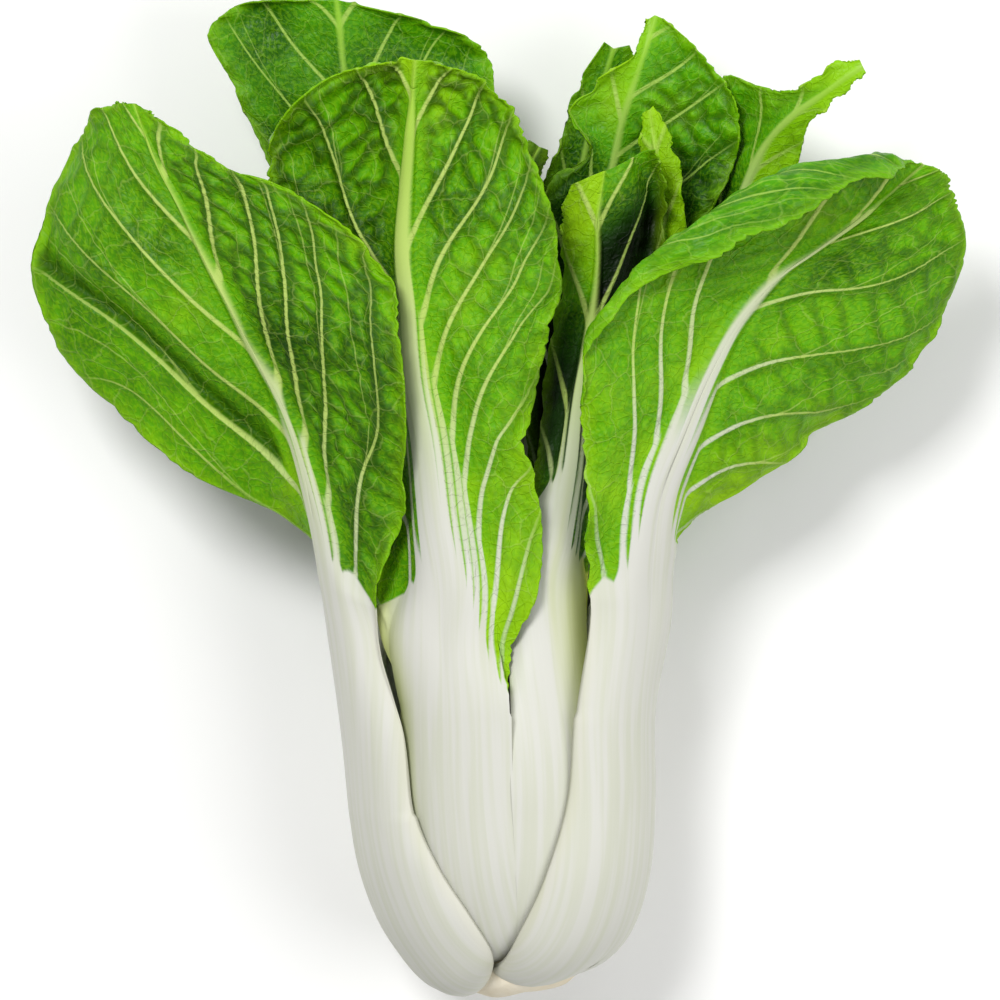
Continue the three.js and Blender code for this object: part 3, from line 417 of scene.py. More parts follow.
class Sheet:
    """One leaf's curved sheet: a rib curve up its middle and a rail up each side, each running from the
    core up the stalk and on through the listed stations of the blade."""

    def __init__(self, leaf):
        self.leaf = leaf
        self.last = len(STALK_STATIONS) - 1 + len(leaf["rib"])
        self.neck = (len(STALK_STATIONS) - 1) / self.last
        self.rib = self.curve(leaf["rib"], 0, 0)
        self.rails = (self.curve(leaf["low"], -leaf["spread"][0], leaf["wrap"][0]),
                      self.curve(leaf["high"], leaf["spread"][1], leaf["wrap"][1]))
        self.fine_t = np.linspace(0, 1, 1601)
        steps = np.linalg.norm(np.diff(catmull(self.rib, self.fine_t), axis=0), axis=1)
        length = np.concatenate([[0], np.cumsum(steps)])
        self.fine_up = length - np.interp(self.neck, self.fine_t, length)
        self.fine_y = catmull(self.rib, self.fine_t)[:, 1]

    def curve(self, blade, spread, wrap):
        """The stalk's stations on the bundle at the leaf's depth, then the blade's own."""
        share = np.array(STALK_STATIONS)
        height = STALK_START + (self.leaf["top"] - STALK_START) * share
        wider = wrap * np.exp(-((height / WRAP_REACH) ** WRAP_POWER))
        across = spread + np.sign(spread) * wider
        depth = self.leaf["ring"] * RING_STEP + SHEET_INSET
        stalk = bundle_point(height, np.radians(self.leaf["azimuth"] + across), depth)
        return np.vstack([stalk, np.array(blade, float)])

    def share(self, t):
        """How far up the blade t is, 0 at the neck and 1 at the tip."""
        return (t - self.neck) / (1 - self.neck)

    def up(self, t):
        """Millimetres along the rib above the neck."""
        return np.interp(t, self.fine_t, self.fine_up)

    def half(self, side, t):
        """The distance from the rib to one rail."""
        return np.linalg.norm(catmull(self.rails[side], t) - catmull(self.rib, t), axis=-1)

    def lip(self, side, t):
        """The length of the margin's fold."""
        return through(self.leaf["fold"][side], self.share(t))

    def reach(self, side, t):
        """The distance from the rib to the very margin, along the sheet: to the rail and on."""
        return self.half(side, t) + self.lip(side, t)

    def rib_half(self, side, t):
        """Half the stalk's width: all of the sheet as far as the green, then falling away to a midrib."""
        v = np.clip(self.share(t), 0, 1)
        left = np.exp(-((v / self.leaf["taper"]) ** 1.5))
        left = left + (1 - left) * (1 - self.calm(side, v))
        reached = self.half(side, np.minimum(t, self.neck))
        return reached * left + (RIB_HALF * (1 - v) + RIB_TIP_HALF) * (1 - left)

    def calm(self, side, v):
        """0 where the margin is still the stalk's own smooth edge, 1 once the green has begun."""
        y = np.interp(self.neck + (1 - self.neck) * np.clip(v, 0, 1), self.fine_t, self.fine_y)
        return smooth((y - self.leaf.get("green_from", (0, 0))[side]) / GREEN_RAMP)

    def ruffle(self, side, v):
        """Two sine waves along the margin, growing from the neck and dying out at the tip."""
        size, count, phase = self.leaf["waves"]
        start = phase + 0.37 * side
        wave = np.sin(2 * np.pi * (count * v + start))
        cross = np.sin(2 * np.pi * (1.73 * count * v + 1.9 * start))
        grown = smooth(v / 0.3) * np.sqrt(np.clip(1 - v, 0, 1)) * self.calm(side, v)
        return size * grown * (wave + 0.45 * cross)

    def frill(self, side, v):
        """Short crimps of the very margin, in mm: a sine wave whose size itself comes and goes."""
        count = 3.1 * self.leaf["waves"][1]
        swell = 0.55 + 0.45 * np.sin(2 * np.pi * (1.31 * v + self.leaf["waves"][2]))
        fade = smooth(v / 0.12) * smooth((1 - v) / 0.05) * self.calm(side, v)
        return 1.3 * swell * fade * np.sin(2 * np.pi * (count * v + 0.6 * side) + 2.2 * np.sin(9 * v))

    def cut_back(self, side, v):
        """Rounded teeth of uneven size along the margin: how far it is cut back, in mm."""
        length = np.interp(1, self.fine_t, self.fine_up)
        x = v * length / TOOTH + 7 * side + 40 * self.leaf["waves"][2]
        teeth = np.abs(np.sin(np.pi * (x + 0.35 * np.sin(0.9 * x) + 0.2 * np.sin(2.3 * x))))
        depth = 0.95 + 0.5 * np.sin(0.37 * x)
        return depth * (1 - teeth) * smooth(v / 0.06) * smooth((1 - v) / 0.02) * self.calm(side, v)

    def bitten(self, side, v):
        """How far the outline comes in, in mm: a slow sine wave whose length wanders, and the leaf's
        own notches, each a bell curve."""
        x = v * self.fine_up[-1] / OUTLINE_WAVE + 0.4 * side + 3 * self.leaf["waves"][2]
        wave = 0.9 * (1 + np.sin(2 * np.pi * (x + 0.22 * np.sin(3.1 * x)))) * smooth(v / 0.2)
        wave = wave * smooth((1 - v) / 0.12) * self.calm(side, v)
        mine = [bite[1:] for bite in self.leaf.get("bites", ()) if bite[0] == side]
        return sum((depth * np.exp(-(((v - at) / wide) ** 2)) for at, wide, depth in mine), wave)

    def half_point(self, side, t, share):
        """A point of one half: a shallow parabola on its chord, then an arc and a straight lip, and
        the ruffles, which grow with the cube of the share."""
        leaf = self.leaf
        v = self.share(t)
        middle = catmull(self.rib, t)
        chord = catmull(self.rails[side], t) - middle
        half = np.linalg.norm(chord, axis=-1)
        along = chord / half[..., None]
        d = 1e-4
        tangent = catmull(self.rib, np.minimum(1, t + d)) - catmull(self.rib, np.maximum(0, t - d))
        out = unit(np.cross(tangent, along)) * (1 if side else -1)
        height = np.maximum(0, middle[..., 1])
        wider = leaf["wrap"][side] * np.exp(-((height / WRAP_REACH) ** WRAP_POWER))
        arc_bow = np.tan(np.radians(leaf["spread"][side] + wider) / 4) / 2
        bow = arc_bow + (through(leaf["bow"][side], v) - arc_bow) * np.clip(v / 0.15, 0, 1)
        lip = np.maximum(self.lip(side, t), 1e-6)
        trimmed = self.cut_back(side, v) * share**10 + self.bitten(side, v) * share**2
        run = share * (half + lip - trimmed)
        q = np.minimum(run / half, 1)
        steep = np.arctan(-4 * bow)
        bend = np.radians(leaf["turn"][side])
        radius = ARC_SHARE * lip / bend
        angle = bend * np.clip((run - half) / (ARC_SHARE * lip), 0, 1)
        straight = np.maximum(0, run - half - ARC_SHARE * lip)
        ahead = radius * (np.sin(steep + angle) - np.sin(steep)) + straight * np.cos(steep + angle)
        aside = radius * (np.cos(steep) - np.cos(steep + angle)) + straight * np.sin(steep + angle)
        ahead = np.where(run > half, ahead, 0)
        aside = np.where(run > half, aside, 0)
        rise = bow * half * 4 * q * (1 - q) + aside
        waved = self.ruffle(side, v) * share**3 + self.frill(side, v) * share**9
        rise = rise + np.where(v > 0, waved, 0)
        return middle + along * (half * q + ahead)[..., None] + out * rise[..., None]

    def point(self, t, s):
        """A point of the sheet: t from core to tip, s from -1 at the low margin to 1 at the high."""
        t, s = np.broadcast_arrays(t, s)
        return np.where((s < 0)[..., None], self.half_point(0, t, np.abs(s)),
                        self.half_point(1, t, np.abs(s)))

    def normal(self, t, s):
        """Outwards: the step up the sheet crossed with the step across it."""
        up = self.point(np.minimum(1, t + 0.002), s) - self.point(np.maximum(0, t - 0.002), s)
        over = self.point(t, np.minimum(1, s + 0.01)) - self.point(t, np.maximum(-1, s - 0.01))
        return unit(np.cross(up, over))

    def both(self, what, t, s):
        """A quantity that has one value a side, picked by the sign of s."""
        return np.where(s < 0, what(0, t), what(1, t))

    def leaving(self, side, up, away):
        """The height at which the vein or strand through a place leaves the stalk. Inside the stalk
        strands run along it, so it is where the stalk has become as narrow as the place is far from
        the rib. Outside, the vein has run up along the stalk first and then parted from it."""
        first_run, part, later_slope, steepen, curl = self.leaf["flow"][side]
        grid = np.linspace(-90, self.fine_up[-1] + 60, 900)
        t = np.interp(grid, self.fine_up, self.fine_t)
        width = self.rib_half(side, t) - 0.02 * grid
        lowest = np.full(up.shape, grid[0])
        highest = np.full(up.shape, grid[-1])
        for _ in range(22):
            middle = (lowest + highest) / 2
            beyond = np.maximum(0, away - np.interp(middle, grid, width))
            run = first_run * np.exp(-np.maximum(0, middle) / VEIN_RUN_FALL)
            slope = later_slope + steepen * smooth(middle / 140)
            arrives = middle + run * (1 - np.exp(-beyond / part)) + (slope + curl * beyond) * beyond
            inside = (np.interp(middle, grid, width) > away) & (arrives >= up)
            above = (arrives > up) & ~inside
            lowest = np.where(above, lowest, middle)
            highest = np.where(above, middle, highest)
        return (lowest + highest) / 2

    def phase(self, side, up, away):
        """The count of side veins below a place, less their whole number, so that it is 0 at the tip
        and a whole number on each vein."""
        veins = np.array(self.leaf["veins"][side], float)
        first, final = veins[1] - veins[0], veins[-1] - veins[-2]
        stops = np.concatenate([[veins[0] - 6 * first], veins, [veins[-1] + 8 * final]])
        counts = np.concatenate([[-6], np.arange(len(veins)), [len(veins) + 7]]) - len(veins) - 7
        wander = (2.2 * np.sin(away / 12 + up / 31 + 2.1 * side) + 0.7 * np.sin(away / 6.3 - up / 17)
                  ) * smooth(away / 25)
        return np.interp(self.leaving(side, up, away) + wander, stops, counts)


def fields(sheet, t, s):
    """Everything that the finish needs to know at each place of the sheet, as one array a name. Pillows
    between the veins are made of large cells, small cells inside them, and rungs across: a sine wave.
    The side veins' spacing is one over the slope of their count."""
    leaf = sheet.leaf
    v = np.clip(sheet.share(t), 0, 1)
    up = sheet.up(t)
    reach = sheet.both(sheet.reach, t, s)
    away = np.abs(s) * reach
    stalk = sheet.both(sheet.rib_half, t, s)

    def phase(up, away):
        """The count of side veins on the place's own side."""
        return np.where(s < 0, sheet.phase(0, up, away), sheet.phase(1, up, away))

    here = phase(up, away)
    slope = np.hypot(phase(up + 0.7, away) - here, phase(up, away + 0.7) - here) / 0.7
    spacing = np.clip(1 / np.maximum(slope, 1e-3), 1, 60)
    beyond = np.maximum(0, away - stalk)
    half = VEIN_HALF * np.exp(-beyond / VEIN_THIN) + VEIN_END_HALF
    far = np.abs(here - np.round(here)) * spacing
    onward = 0.75 * up + 0.65 * away
    quilt = cells(here * 1.2 + 0.3 * np.sin(up / 9), onward / 7.5, leaf["azimuth"])
    crimp = cells(here * 3.1 + 0.4 * np.sin(away / 6), onward / 3.8, leaf["azimuth"] + 5)
    drift = 0.3 * np.sin(3 * here) + 0.35 * np.sin(up / 11)
    rung = 0.5 + 0.5 * np.sin(2 * np.pi * (onward / 4.8 + drift))
    pillow = 0.62 * smooth(quilt / 0.6) * smooth((far - half) / 3.5) + 0.16 * smooth(crimp / 0.5)
    pillow = pillow + 0.22 * rung * smooth((far - half) / 2.5)
    white_half = stalk * (1 - (1 - leaf.get("midrib", 0.5)) * smooth(v / 0.3))
    starts = leaf.get("green_from", (0, 0))
    y = catmull(sheet.rib, t)[..., 1]
    still_white = 1 - smooth((y - np.where(s < 0, *starts)) / GREEN_RAMP)
    white_half = white_half + (reach + 6 - white_half) * still_white
    fork = here + 1 - 0.5 * smooth((beyond - FORK_START) / FORK_RUN)
    # The tone is partly the leaf's own lightness and partly painted light and shade: some faces are set
    # lighter to look lit, and below 0 the parts hidden deep inside the head are painted near black as
    # shade.
    tone_and_painted_shade = np.where(s < 0, through(leaf["tone_and_painted_shade"][0], v), through(leaf["tone_and_painted_shade"][1], v))
    pucker = np.where(s < 0, through(leaf["pucker"][0], v), through(leaf["pucker"][1], v))
    edge_off = smooth(beyond / 5) * smooth((reach - away) / 3)
    step = stepped(leaf, s, here, spacing) * edge_off
    # Painted shade: the green is darkened in the sunken parts between the pillows and in the dip above
    # the step, where shade falls.
    painted_hollow_shade = np.clip(pucker / 3.2, 0, 1) * smooth((0.62 - pillow) / 0.5) * edge_off
    painted_hollow_shade = painted_hollow_shade + smooth(step / 4 - 0.2)
    return dict(
        phase=here, painted_hollow_shade=np.clip(painted_hollow_shade, 0, 1), spacing=spacing, vein_half=half, beyond=beyond,
        stalk_in=np.clip(white_half - away, -40, 40),
        rim=np.maximum(0, reach - away), tone_and_painted_shade=tone_and_painted_shade, far=far,
        sink=pucker * (pillow - 0.35) * edge_off + step, v=v, along=up,
        across=s * reach, fork=fork, lime=lime_edge(leaf, t, s, sheet, reach - away),
        ripe=v * leaf.get("yellows", 1),
    )


def stepped(leaf, s, here, spacing):
    """The drop at a leaf's step: none below its vein, full within 2 mm above it, then fading out with the
    square of the distance over the dip's width."""
    if "step" not in leaf:
        return np.zeros(s.shape)
    side, which, depth, width = leaf["step"]
    above = (here - (which - len(leaf["veins"][side]) - 7)) * spacing
    return depth * smooth((above + 0.5) / 2) * np.exp(-((above / width) ** 2)) * ((s > 0) == bool(side))


def lime_edge(leaf, t, s, sheet, rim):
    """The yellow-green band down a stalk's margin: full at the very edge, gone at the band's width, and
    fading in and out over 20 mm at its two ends."""
    if "lime" not in leaf:
        return np.zeros(s.shape)
    side, start, end, width, strength = leaf["lime"]
    y = catmull(sheet.rib, t)[..., 1]
    lengthways = smooth((y - start) / 20) * smooth((end - y) / 20)
    return strength * lengthways * (1 - smooth(rim / width)) * ((s > 0) == bool(side))


def blade_rows(sheet, count):
    """Rows up the blade, closer together towards the round tip."""
    f = np.linspace(0, 1, count + 1)
    return sheet.neck + (1 - sheet.neck) * (1 - (1 - f) ** 1.35)


def rib_columns(sheet, t, count):
    """Shares of the section across the stalk, closer together at its edges: one row for each t."""
    b = np.sin(np.pi * (np.linspace(0, 1, count + 1) - 0.5))
    widest = np.where(t > sheet.neck - 1e-6, WING_START, 1.0)
    low = np.minimum(widest, sheet.rib_half(0, t) / sheet.reach(0, t))
    high = np.minimum(widest, sheet.rib_half(1, t) / sheet.reach(1, t))
    return b[None, :] * np.where(b[None, :] < 0, low[:, None], high[:, None])


def slab(front, back, creases):
    """A closed shell between two faces of one grid of rows by columns: front is the outer face, and
    the four sides are walled. creases are the columns along which the front's shading breaks."""
    rows, columns = front.shape[:2]
    places = np.concatenate([front.reshape(-1, 3), back.reshape(-1, 3)])
    grid = np.arange(rows * columns).reshape(rows, columns)
    far = grid + rows * columns

    def quads(a, b, c, d):
        """One face for each place of four grids of corners."""
        return np.stack([x.reshape(-1) for x in (a, b, c, d)], axis=1)

    outer = quads(grid[:-1, :-1], grid[1:, :-1], grid[1:, 1:], grid[:-1, 1:])
    inner = quads(far[:-1, :-1], far[:-1, 1:], far[1:, 1:], far[1:, :-1])
    sides = np.concatenate([
        quads(grid[:-1, 0], far[:-1, 0], far[1:, 0], grid[1:, 0]),
        quads(grid[:-1, -1], grid[1:, -1], far[1:, -1], far[:-1, -1]),
        quads(grid[0, :-1], grid[0, 1:], far[0, 1:], far[0, :-1]),
        quads(grid[-1, :-1], far[-1, :-1], far[-1, 1:], grid[-1, 1:]),
    ])
    sharp = np.zeros(len(places), int)
    for column in creases:
        sharp[grid[:, column]] = column + 1
    return places, np.concatenate([outer, inner, sides]), len(outer), len(inner), sharp


def piece(name, shell, values, materials, node):
    """Puts a shell's points, faces, creases and named values into one mesh object in metres."""
    places, faces, outer, inner, sharp = shell
    mesh = bpy.data.meshes.new(name)
    mesh.from_pydata(((places + SHIFT) / 1000).tolist(), [], faces.tolist())
    for material in materials:
        mesh.materials.append(material)
    which = np.zeros(len(faces), np.int32)
    which[outer:outer + inner] = 1
    mesh.polygons.foreach_set("material_index", which)
    mesh.polygons.foreach_set("use_smooth", np.ones(len(faces), bool))
    ends = np.empty(len(mesh.edges) * 2, np.int32)
    mesh.edges.foreach_get("vertices", ends)
    ends = sharp[ends.reshape(-1, 2)]
    creased = (ends[:, 0] > 0) & (ends[:, 0] == ends[:, 1])
    mesh.attributes.new("sharp_edge", "BOOLEAN", "EDGE").data.foreach_set("value", creased)
    for key, value in values.items():
        both = np.concatenate([value.reshape(-1), value.reshape(-1)]).astype(np.float32)
        mesh.attributes.new(key, "FLOAT", "POINT").data.foreach_set("value", both)
    mesh.update()
    obj = bpy.data.objects.new(name, mesh)
    bpy.context.collection.objects.link(obj)
    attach(obj, "root")
    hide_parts(node)
    return obj


# The fields that a piece carries as attributes of its points.
SHOWN = ("phase", "spacing", "vein_half", "beyond", "stalk_in", "rim", "tone_and_painted_shade", "painted_hollow_shade", "along",
         "across", "v", "fork", "lime", "ripe")


def raised_veins(f):
    """How far side veins stand out of the outer face: a bell-shaped ridge, three quarters as high as
    half the vein's width."""
    ridge = np.exp(-((f["far"] / f["vein_half"]) ** 2))
    return 0.75 * f["vein_half"] * ridge * smooth(f["beyond"] / 1.5)


def stalk_height(sheet, t, b, v):
    """How far the stalk's outer face stands above the sheet: its full thickness in the middle, falling
    to the edge's own height, which is nothing once the blade has begun, and nothing at its end."""
    leaf = sheet.leaf
    thick = RIB_TIP_THICK + (STALK_THICK - RIB_TIP_THICK) * (1 - v) ** 1.6
    at_root = np.where(b < 0, leaf["edge"][0], leaf["edge"][1])
    if "seam" in leaf:
        flush = np.where((b > 0) == bool(leaf["seam"]), smooth(1 - v / 0.12), 0)
        at_root = at_root + (STALK_THICK - at_root) * flush
    edge = (at_root + GAP) * smooth(1 - v / 0.14)
    blunt = 0.7 + 2.0 * smooth(v / 0.35)
    body = edge + np.maximum(0, thick + GAP - edge) * (1 - np.abs(b) ** 3) ** blunt
    strands = 0.06 * np.sin(2 * np.pi * (5.5 * b + 0.4 * np.sin(3 * b))) * (1 - np.abs(b) ** 4)
    return (body + strands * smooth((thick - 1) / 3)) * smooth((RIB_REACH - v) / 0.1)


def stalk_shell(sheet, sizes):
    """The white stalk: its front is the sheet moved out by the stalk's height, less shallow slits where
    the green runs in between the side veins. Its back is off the sheet by the gap, and sinks just
    under it once the blade has begun."""
    below, blade, ribs, _ = sizes
    t = np.concatenate([np.linspace(0, sheet.neck, below + 1)[:-1], blade_rows(sheet, blade)])
    t = t[sheet.share(t) <= RIB_REACH]
    s = rib_columns(sheet, t, ribs)
    b = np.broadcast_to(np.sin(np.pi * (np.linspace(0, 1, ribs + 1) - 0.5))[None, :], s.shape)
    t = np.broadcast_to(t[:, None], s.shape)
    f = fields(sheet, t, s)
    spot, out = sheet.point(t, s), sheet.normal(t, s)
    height = stalk_height(sheet, t, b, f["v"])
    slit = smooth((f["far"] - f["vein_half"]) / 1.2) * smooth((-f["stalk_in"] - 0.3) / 1.5)
    height = height - np.minimum(0.35, 0.4 * height) * slit * smooth(f["v"] / 0.05)
    front = spot + out * height[..., None]
    if "seam" in sheet.leaf:
        f["rim"] = f["rim"] + 30 * ((b > 0) == bool(sheet.leaf["seam"])) * smooth(1 - f["v"] / 0.05)
    back = spot + out * (GAP * smooth(1 - f["v"] / 0.05) - 0.12 * smooth(f["v"] / 0.05))[..., None]
    front[..., 2] = np.maximum(front[..., 2], 0)
    back[..., 2] = np.maximum(back[..., 2], RIB_EDGE)
    return slab(front, back, (0, s.shape[1] - 1)), {key: f[key] for key in SHOWN}


def blade_shell(sheet, sizes):
    """The green blade: its front is the sheet less the puckers and a slow swell, two sine waves about
    80 mm long, with the side veins raised and the part under the midrib let in. Its back is one
    thickness behind. No point is under the table, and a flat margin on it is half a millimetre thick."""
    _, blade, ribs, wings = sizes
    t = blade_rows(sheet, blade)
    middle = rib_columns(sheet, t, ribs)
    f = np.linspace(0, 1, wings + 1)[1:]
    low = middle[:, :1] + (-1 - middle[:, :1]) * f[None, ::-1]
    high = middle[:, -1:] + (1 - middle[:, -1:]) * f[None, :]
    s = np.concatenate([low, middle, high], axis=1)
    t = np.broadcast_to(t[:, None], s.shape)
    s = s * (1 - TUCK * (1 - sheet.both(lambda side, at: sheet.calm(side, sheet.share(at)), t, s)))
    f = fields(sheet, t, s)
    column = np.arange(s.shape[1])[None, :]
    under = ((column > wings) & (column < wings + ribs)) & (f["v"] < RIB_REACH)
    spot, out = sheet.point(t, s), sheet.normal(t, s)
    away = np.abs(f["across"])
    swell = 2.0 * np.sin(f["along"] / 13 + 1.7 * (s > 0)) * np.sin(away / 12 + f["along"] / 40)
    f["sink"] = f["sink"] + swell * smooth(f["beyond"] / 14) * smooth(f["rim"] / 8)
    outer = raised_veins(f) - f["sink"] - 0.35 * under
    thick = RIM_THICK + (BLADE_THICK - RIM_THICK) * smooth(f["rim"] / 8)
    front = spot + out * outer[..., None]
    back = spot + out * (-f["sink"] - thick)[..., None]
    front[..., 2] = np.maximum(front[..., 2], 0.02)
    back[..., 2] = np.maximum(back[..., 2], 0.02)
    lowest = np.minimum(front[..., 2], back[..., 2]) < 0.4
    back[..., 2] = np.where(lowest, front[..., 2] + np.where(out[..., 2] < 0, 0.5, -0.5), back[..., 2])
    back[..., 2] = np.maximum(back[..., 2], 0.02)
    return slab(front, back, (wings, wings + ribs)), {key: f[key] for key in SHOWN}


def linear(colour):
    """The linear value of an sRGB hex colour: a straight toe, then the 2.4 power."""
    srgb = np.array([int(colour[i:i + 2], 16) for i in (1, 3, 5)]) / 255
    return (*np.where(srgb <= 0.04045, srgb / 12.92, ((srgb + 0.055) / 1.055) ** 2.4), 1.0)


def node(tree, kind, inputs=(), **settings):
    """Adds a node with its settings, and for each (socket, value) of inputs links or sets it."""
    made = tree.nodes.new("ShaderNode" + kind)
    for name, value in settings.items():
        setattr(made, name, value)
    for socket, value in inputs:
        if isinstance(value, bpy.types.NodeSocket):
            tree.links.new(value, made.inputs[socket])
        else:
            made.inputs[socket].default_value = value
    return made


def new_material(name):
    """A material with an empty node tree."""
    material = bpy.data.materials.new(name)
    material.use_nodes = True
    tree = material.node_tree
    tree.nodes.clear()
    return material, tree


def finish_material(tree, shader):
    """Joins the shader to the surface."""
    node(tree, "OutputMaterial", [("Surface", shader)])


def leaf_material(name, deep, mid, light, vein, white, roughness, gloss, relief):
    """Living leaf tissue under a thin wax skin, which gives a soft sheen: a white, water-filled stalk
    whose side veins run out as pale lines into a green blade, with a fine net between them and a paler
    margin. Painted shade darkens the hollows between the puckers, and the lowest tone is painted shade
    that runs to near black on the leaves hidden inside the head. The inner face is a little darker and
    glossier than the outer."""
    material, tree = new_material(name)

    def value(key):
        """One field at the place that is seen."""
        return node(tree, "Attribute", attribute_name=key).outputs["Fac"]

    def maths(operation, a, b=0.0):
        """One operation on two numbers."""
        return node(tree, "Math", [(0, a), (1, b)], operation=operation).outputs[0]

    def ramp(x, start, end, low=0.0, high=1.0):
        """A smooth step from low at the start to high at the end."""
        return node(tree, "MapRange", [(0, x), (1, start), (2, end), (3, low), (4, high)],
                    interpolation_type="SMOOTHSTEP").outputs[0]

    def blend(share, first, second):
        """The first colour turned into the second by the share."""
        return node(tree, "Mix", [(0, share), (6, first), (7, second)], data_type="RGBA").outputs[2]

    phase, spacing, half = value("phase"), value("spacing"), value("vein_half")
    stalk_in, rim, tone_and_painted_shade, beyond = value("stalk_in"), value("rim"), value("tone_and_painted_shade"), value("beyond")
    place = node(tree, "CombineXYZ", [(0, value("along")), (1, value("across")), (2, 0.0)]).outputs[0]

    # Distance to the nearest side vein, and the finer vein half way between two of them.
    off = maths("ABSOLUTE", maths("SUBTRACT", phase, maths("ROUND", phase)))
    far = maths("MULTIPLY", off, spacing)
    main = ramp(far, maths("MULTIPLY", half, 1.25), maths("MULTIPLY", half, 0.5))
    branch = value("fork")
    branch_off = maths("ABSOLUTE", maths("SUBTRACT", branch, maths("ROUND", branch)))
    side_branch = ramp(maths("MULTIPLY", branch_off, spacing), 0.42, 0.12)

    # The net between the veins, its meshes shaken out of line by a noise.
    wander = node(tree, "TexNoise", [("Vector", place), ("Scale", 0.16), ("Detail", 2.0)],
                  noise_dimensions="2D").outputs["Color"]
    moved = node(tree, "VectorMath", [(0, wander), (1, (3.5, 3.5, 3.5)), (2, place)],
                 operation="MULTIPLY_ADD").outputs[0]
    coarse = node(tree, "TexVoronoi", [("Vector", moved), ("Scale", 1 / NET)],
                  voronoi_dimensions="2D", feature="DISTANCE_TO_EDGE").outputs["Distance"]
    fine = node(tree, "TexVoronoi", [("Vector", moved), ("Scale", 1 / FINE_NET)],
                voronoi_dimensions="2D", feature="DISTANCE_TO_EDGE").outputs["Distance"]
    net = ramp(coarse, 0.034, 0.008)
    mesh = ramp(fine, 0.09, 0.02)

    # The green: its tone with broad clouds, the tone partly painted light and shade, then a light rim,
    # specks 1.4 mm wide, painted shade in the hollows, and veins.
    cloud = node(tree, "TexNoise", [("Vector", place), ("Scale", 1 / CLOUD), ("Detail", 3.0),
                                    ("Roughness", 0.6)], noise_dimensions="2D").outputs["Fac"]
    shade = maths("ADD", tone_and_painted_shade, maths("MULTIPLY", maths("SUBTRACT", cloud, 0.5), 0.9))
    # Painted shade: below a shade of 0 the green runs to near black, on the leaves hidden deep inside the
    # head where shade falls.
    green = blend(ramp(shade, -0.8, 0.0), linear("#061003"), linear(deep))
    green = blend(ramp(shade, 0.05, 0.55), green, linear(mid))
    green = blend(ramp(shade, 0.5, 1.1), green, linear(light))
    green = blend(maths("MULTIPLY", ramp(rim, 7.0, 0.0), 0.35), green, linear(light))
    speck = node(tree, "TexNoise", [("Vector", place), ("Scale", 0.7), ("Detail", 1.0)],
                 noise_dimensions="2D").outputs["Fac"]
    lit = ramp(shade, -0.5, 0.3)
    green = blend(maths("MULTIPLY", ramp(speck, 0.42, 0.62, 0.0, 0.24), lit), green, linear(light))
    # Painted shade: dark green in the hollows between the puckers and in the dip above the step.
    green = blend(maths("MULTIPLY", value("painted_hollow_shade"), 0.75), green, linear("#123004"))
    green = blend(maths("MULTIPLY", mesh, maths("MULTIPLY", lit, 0.1)), green, linear(light))
    open_blade = ramp(beyond, 1.0, 6.0)
    net = maths("MULTIPLY", net, open_blade)
    green = blend(maths("MULTIPLY", net, maths("MULTIPLY", lit, 0.17)), green, linear(vein))
    ending = ramp(rim, 1.0, 12.0, 0.25, 1.0)
    green = blend(maths("MULTIPLY", side_branch, maths("MULTIPLY", ending, 0.38)), green, linear(vein))
    yellowing = maths("MAXIMUM", ramp(beyond, 0.0, 22.0), ramp(value("ripe"), 0.15, 0.5))
    vein_colour = blend(yellowing, linear(white), linear(vein))
    worn = maths("MULTIPLY", ending, ramp(beyond, 12.0, 60.0, 0.85, 0.5))
    green = blend(maths("MULTIPLY", main, worn), green, vein_colour)

    # The white of the stalk runs out along each side vein, and the green runs in between them. Pale
    # strands 2.4 mm wide run up the white.
    tooth = maths("SUBTRACT", 0.4, maths("MULTIPLY", off, 1.6))
    flame = maths("MULTIPLY", ramp(value("v"), 0.0, 0.06), ramp(value("v"), 0.75, 0.1, 0.6, 5.0))
    inward = maths("ADD", stalk_in, maths("MULTIPLY", tooth, flame))
    body = ramp(inward, -0.9, 0.9)
    drawn_out = node(tree, "Mapping", [("Vector", place), ("Scale", (0.012, 0.42, 1.0))]).outputs[0]
    strand = node(tree, "TexNoise", [
        ("Vector", drawn_out), ("Scale", 1.0), ("Detail", 2.0)], noise_dimensions="2D").outputs["Fac"]
    pale = blend(ramp(strand, 0.35, 0.7, 0.0, 0.6), linear(white), linear("#C3C6B1"))
    pale = blend(ramp(value("ripe"), 0.22, 0.65, 0.0, 0.95), pale, linear(vein))
    pale = blend(ramp(value("ripe"), 0.5, 1.0, 0.0, 0.7), pale, linear(light))
    pale = blend(maths("MULTIPLY", ramp(rim, 4.0, 0.5), 0.15), pale, linear("#CFCBA0"))
    pale = blend(value("lime"), pale, linear("#B2BE4E"))
    colour = blend(body, green, pale)

    # The net and the specks stand out of the green a little, and the strands out of the white.
    height = maths("ADD", maths("MULTIPLY", mesh, 0.22), maths("MULTIPLY", net, 0.18))
    height = maths("ADD", height, maths("MULTIPLY", speck, 0.5))
    height = maths("MULTIPLY", height, maths("SUBTRACT", 1.0, body))
    height = maths("ADD", height, maths("MULTIPLY", strand, maths("MULTIPLY", body, 0.2)))
    bump = node(tree, "Bump", [("Strength", 1.0), ("Distance", relief), ("Height", height)]).outputs[0]
    rough = ramp(cloud, 0.2, 0.8, roughness - 0.06, roughness + 0.08)
    shader = node(tree, "BsdfPrincipled", [
        ("Base Color", colour), ("Roughness", rough), ("IOR", 1.42), ("Normal", bump),
        ("Specular IOR Level", gloss),
    ]).outputs[0]
    finish_material(tree, shader)
    return material


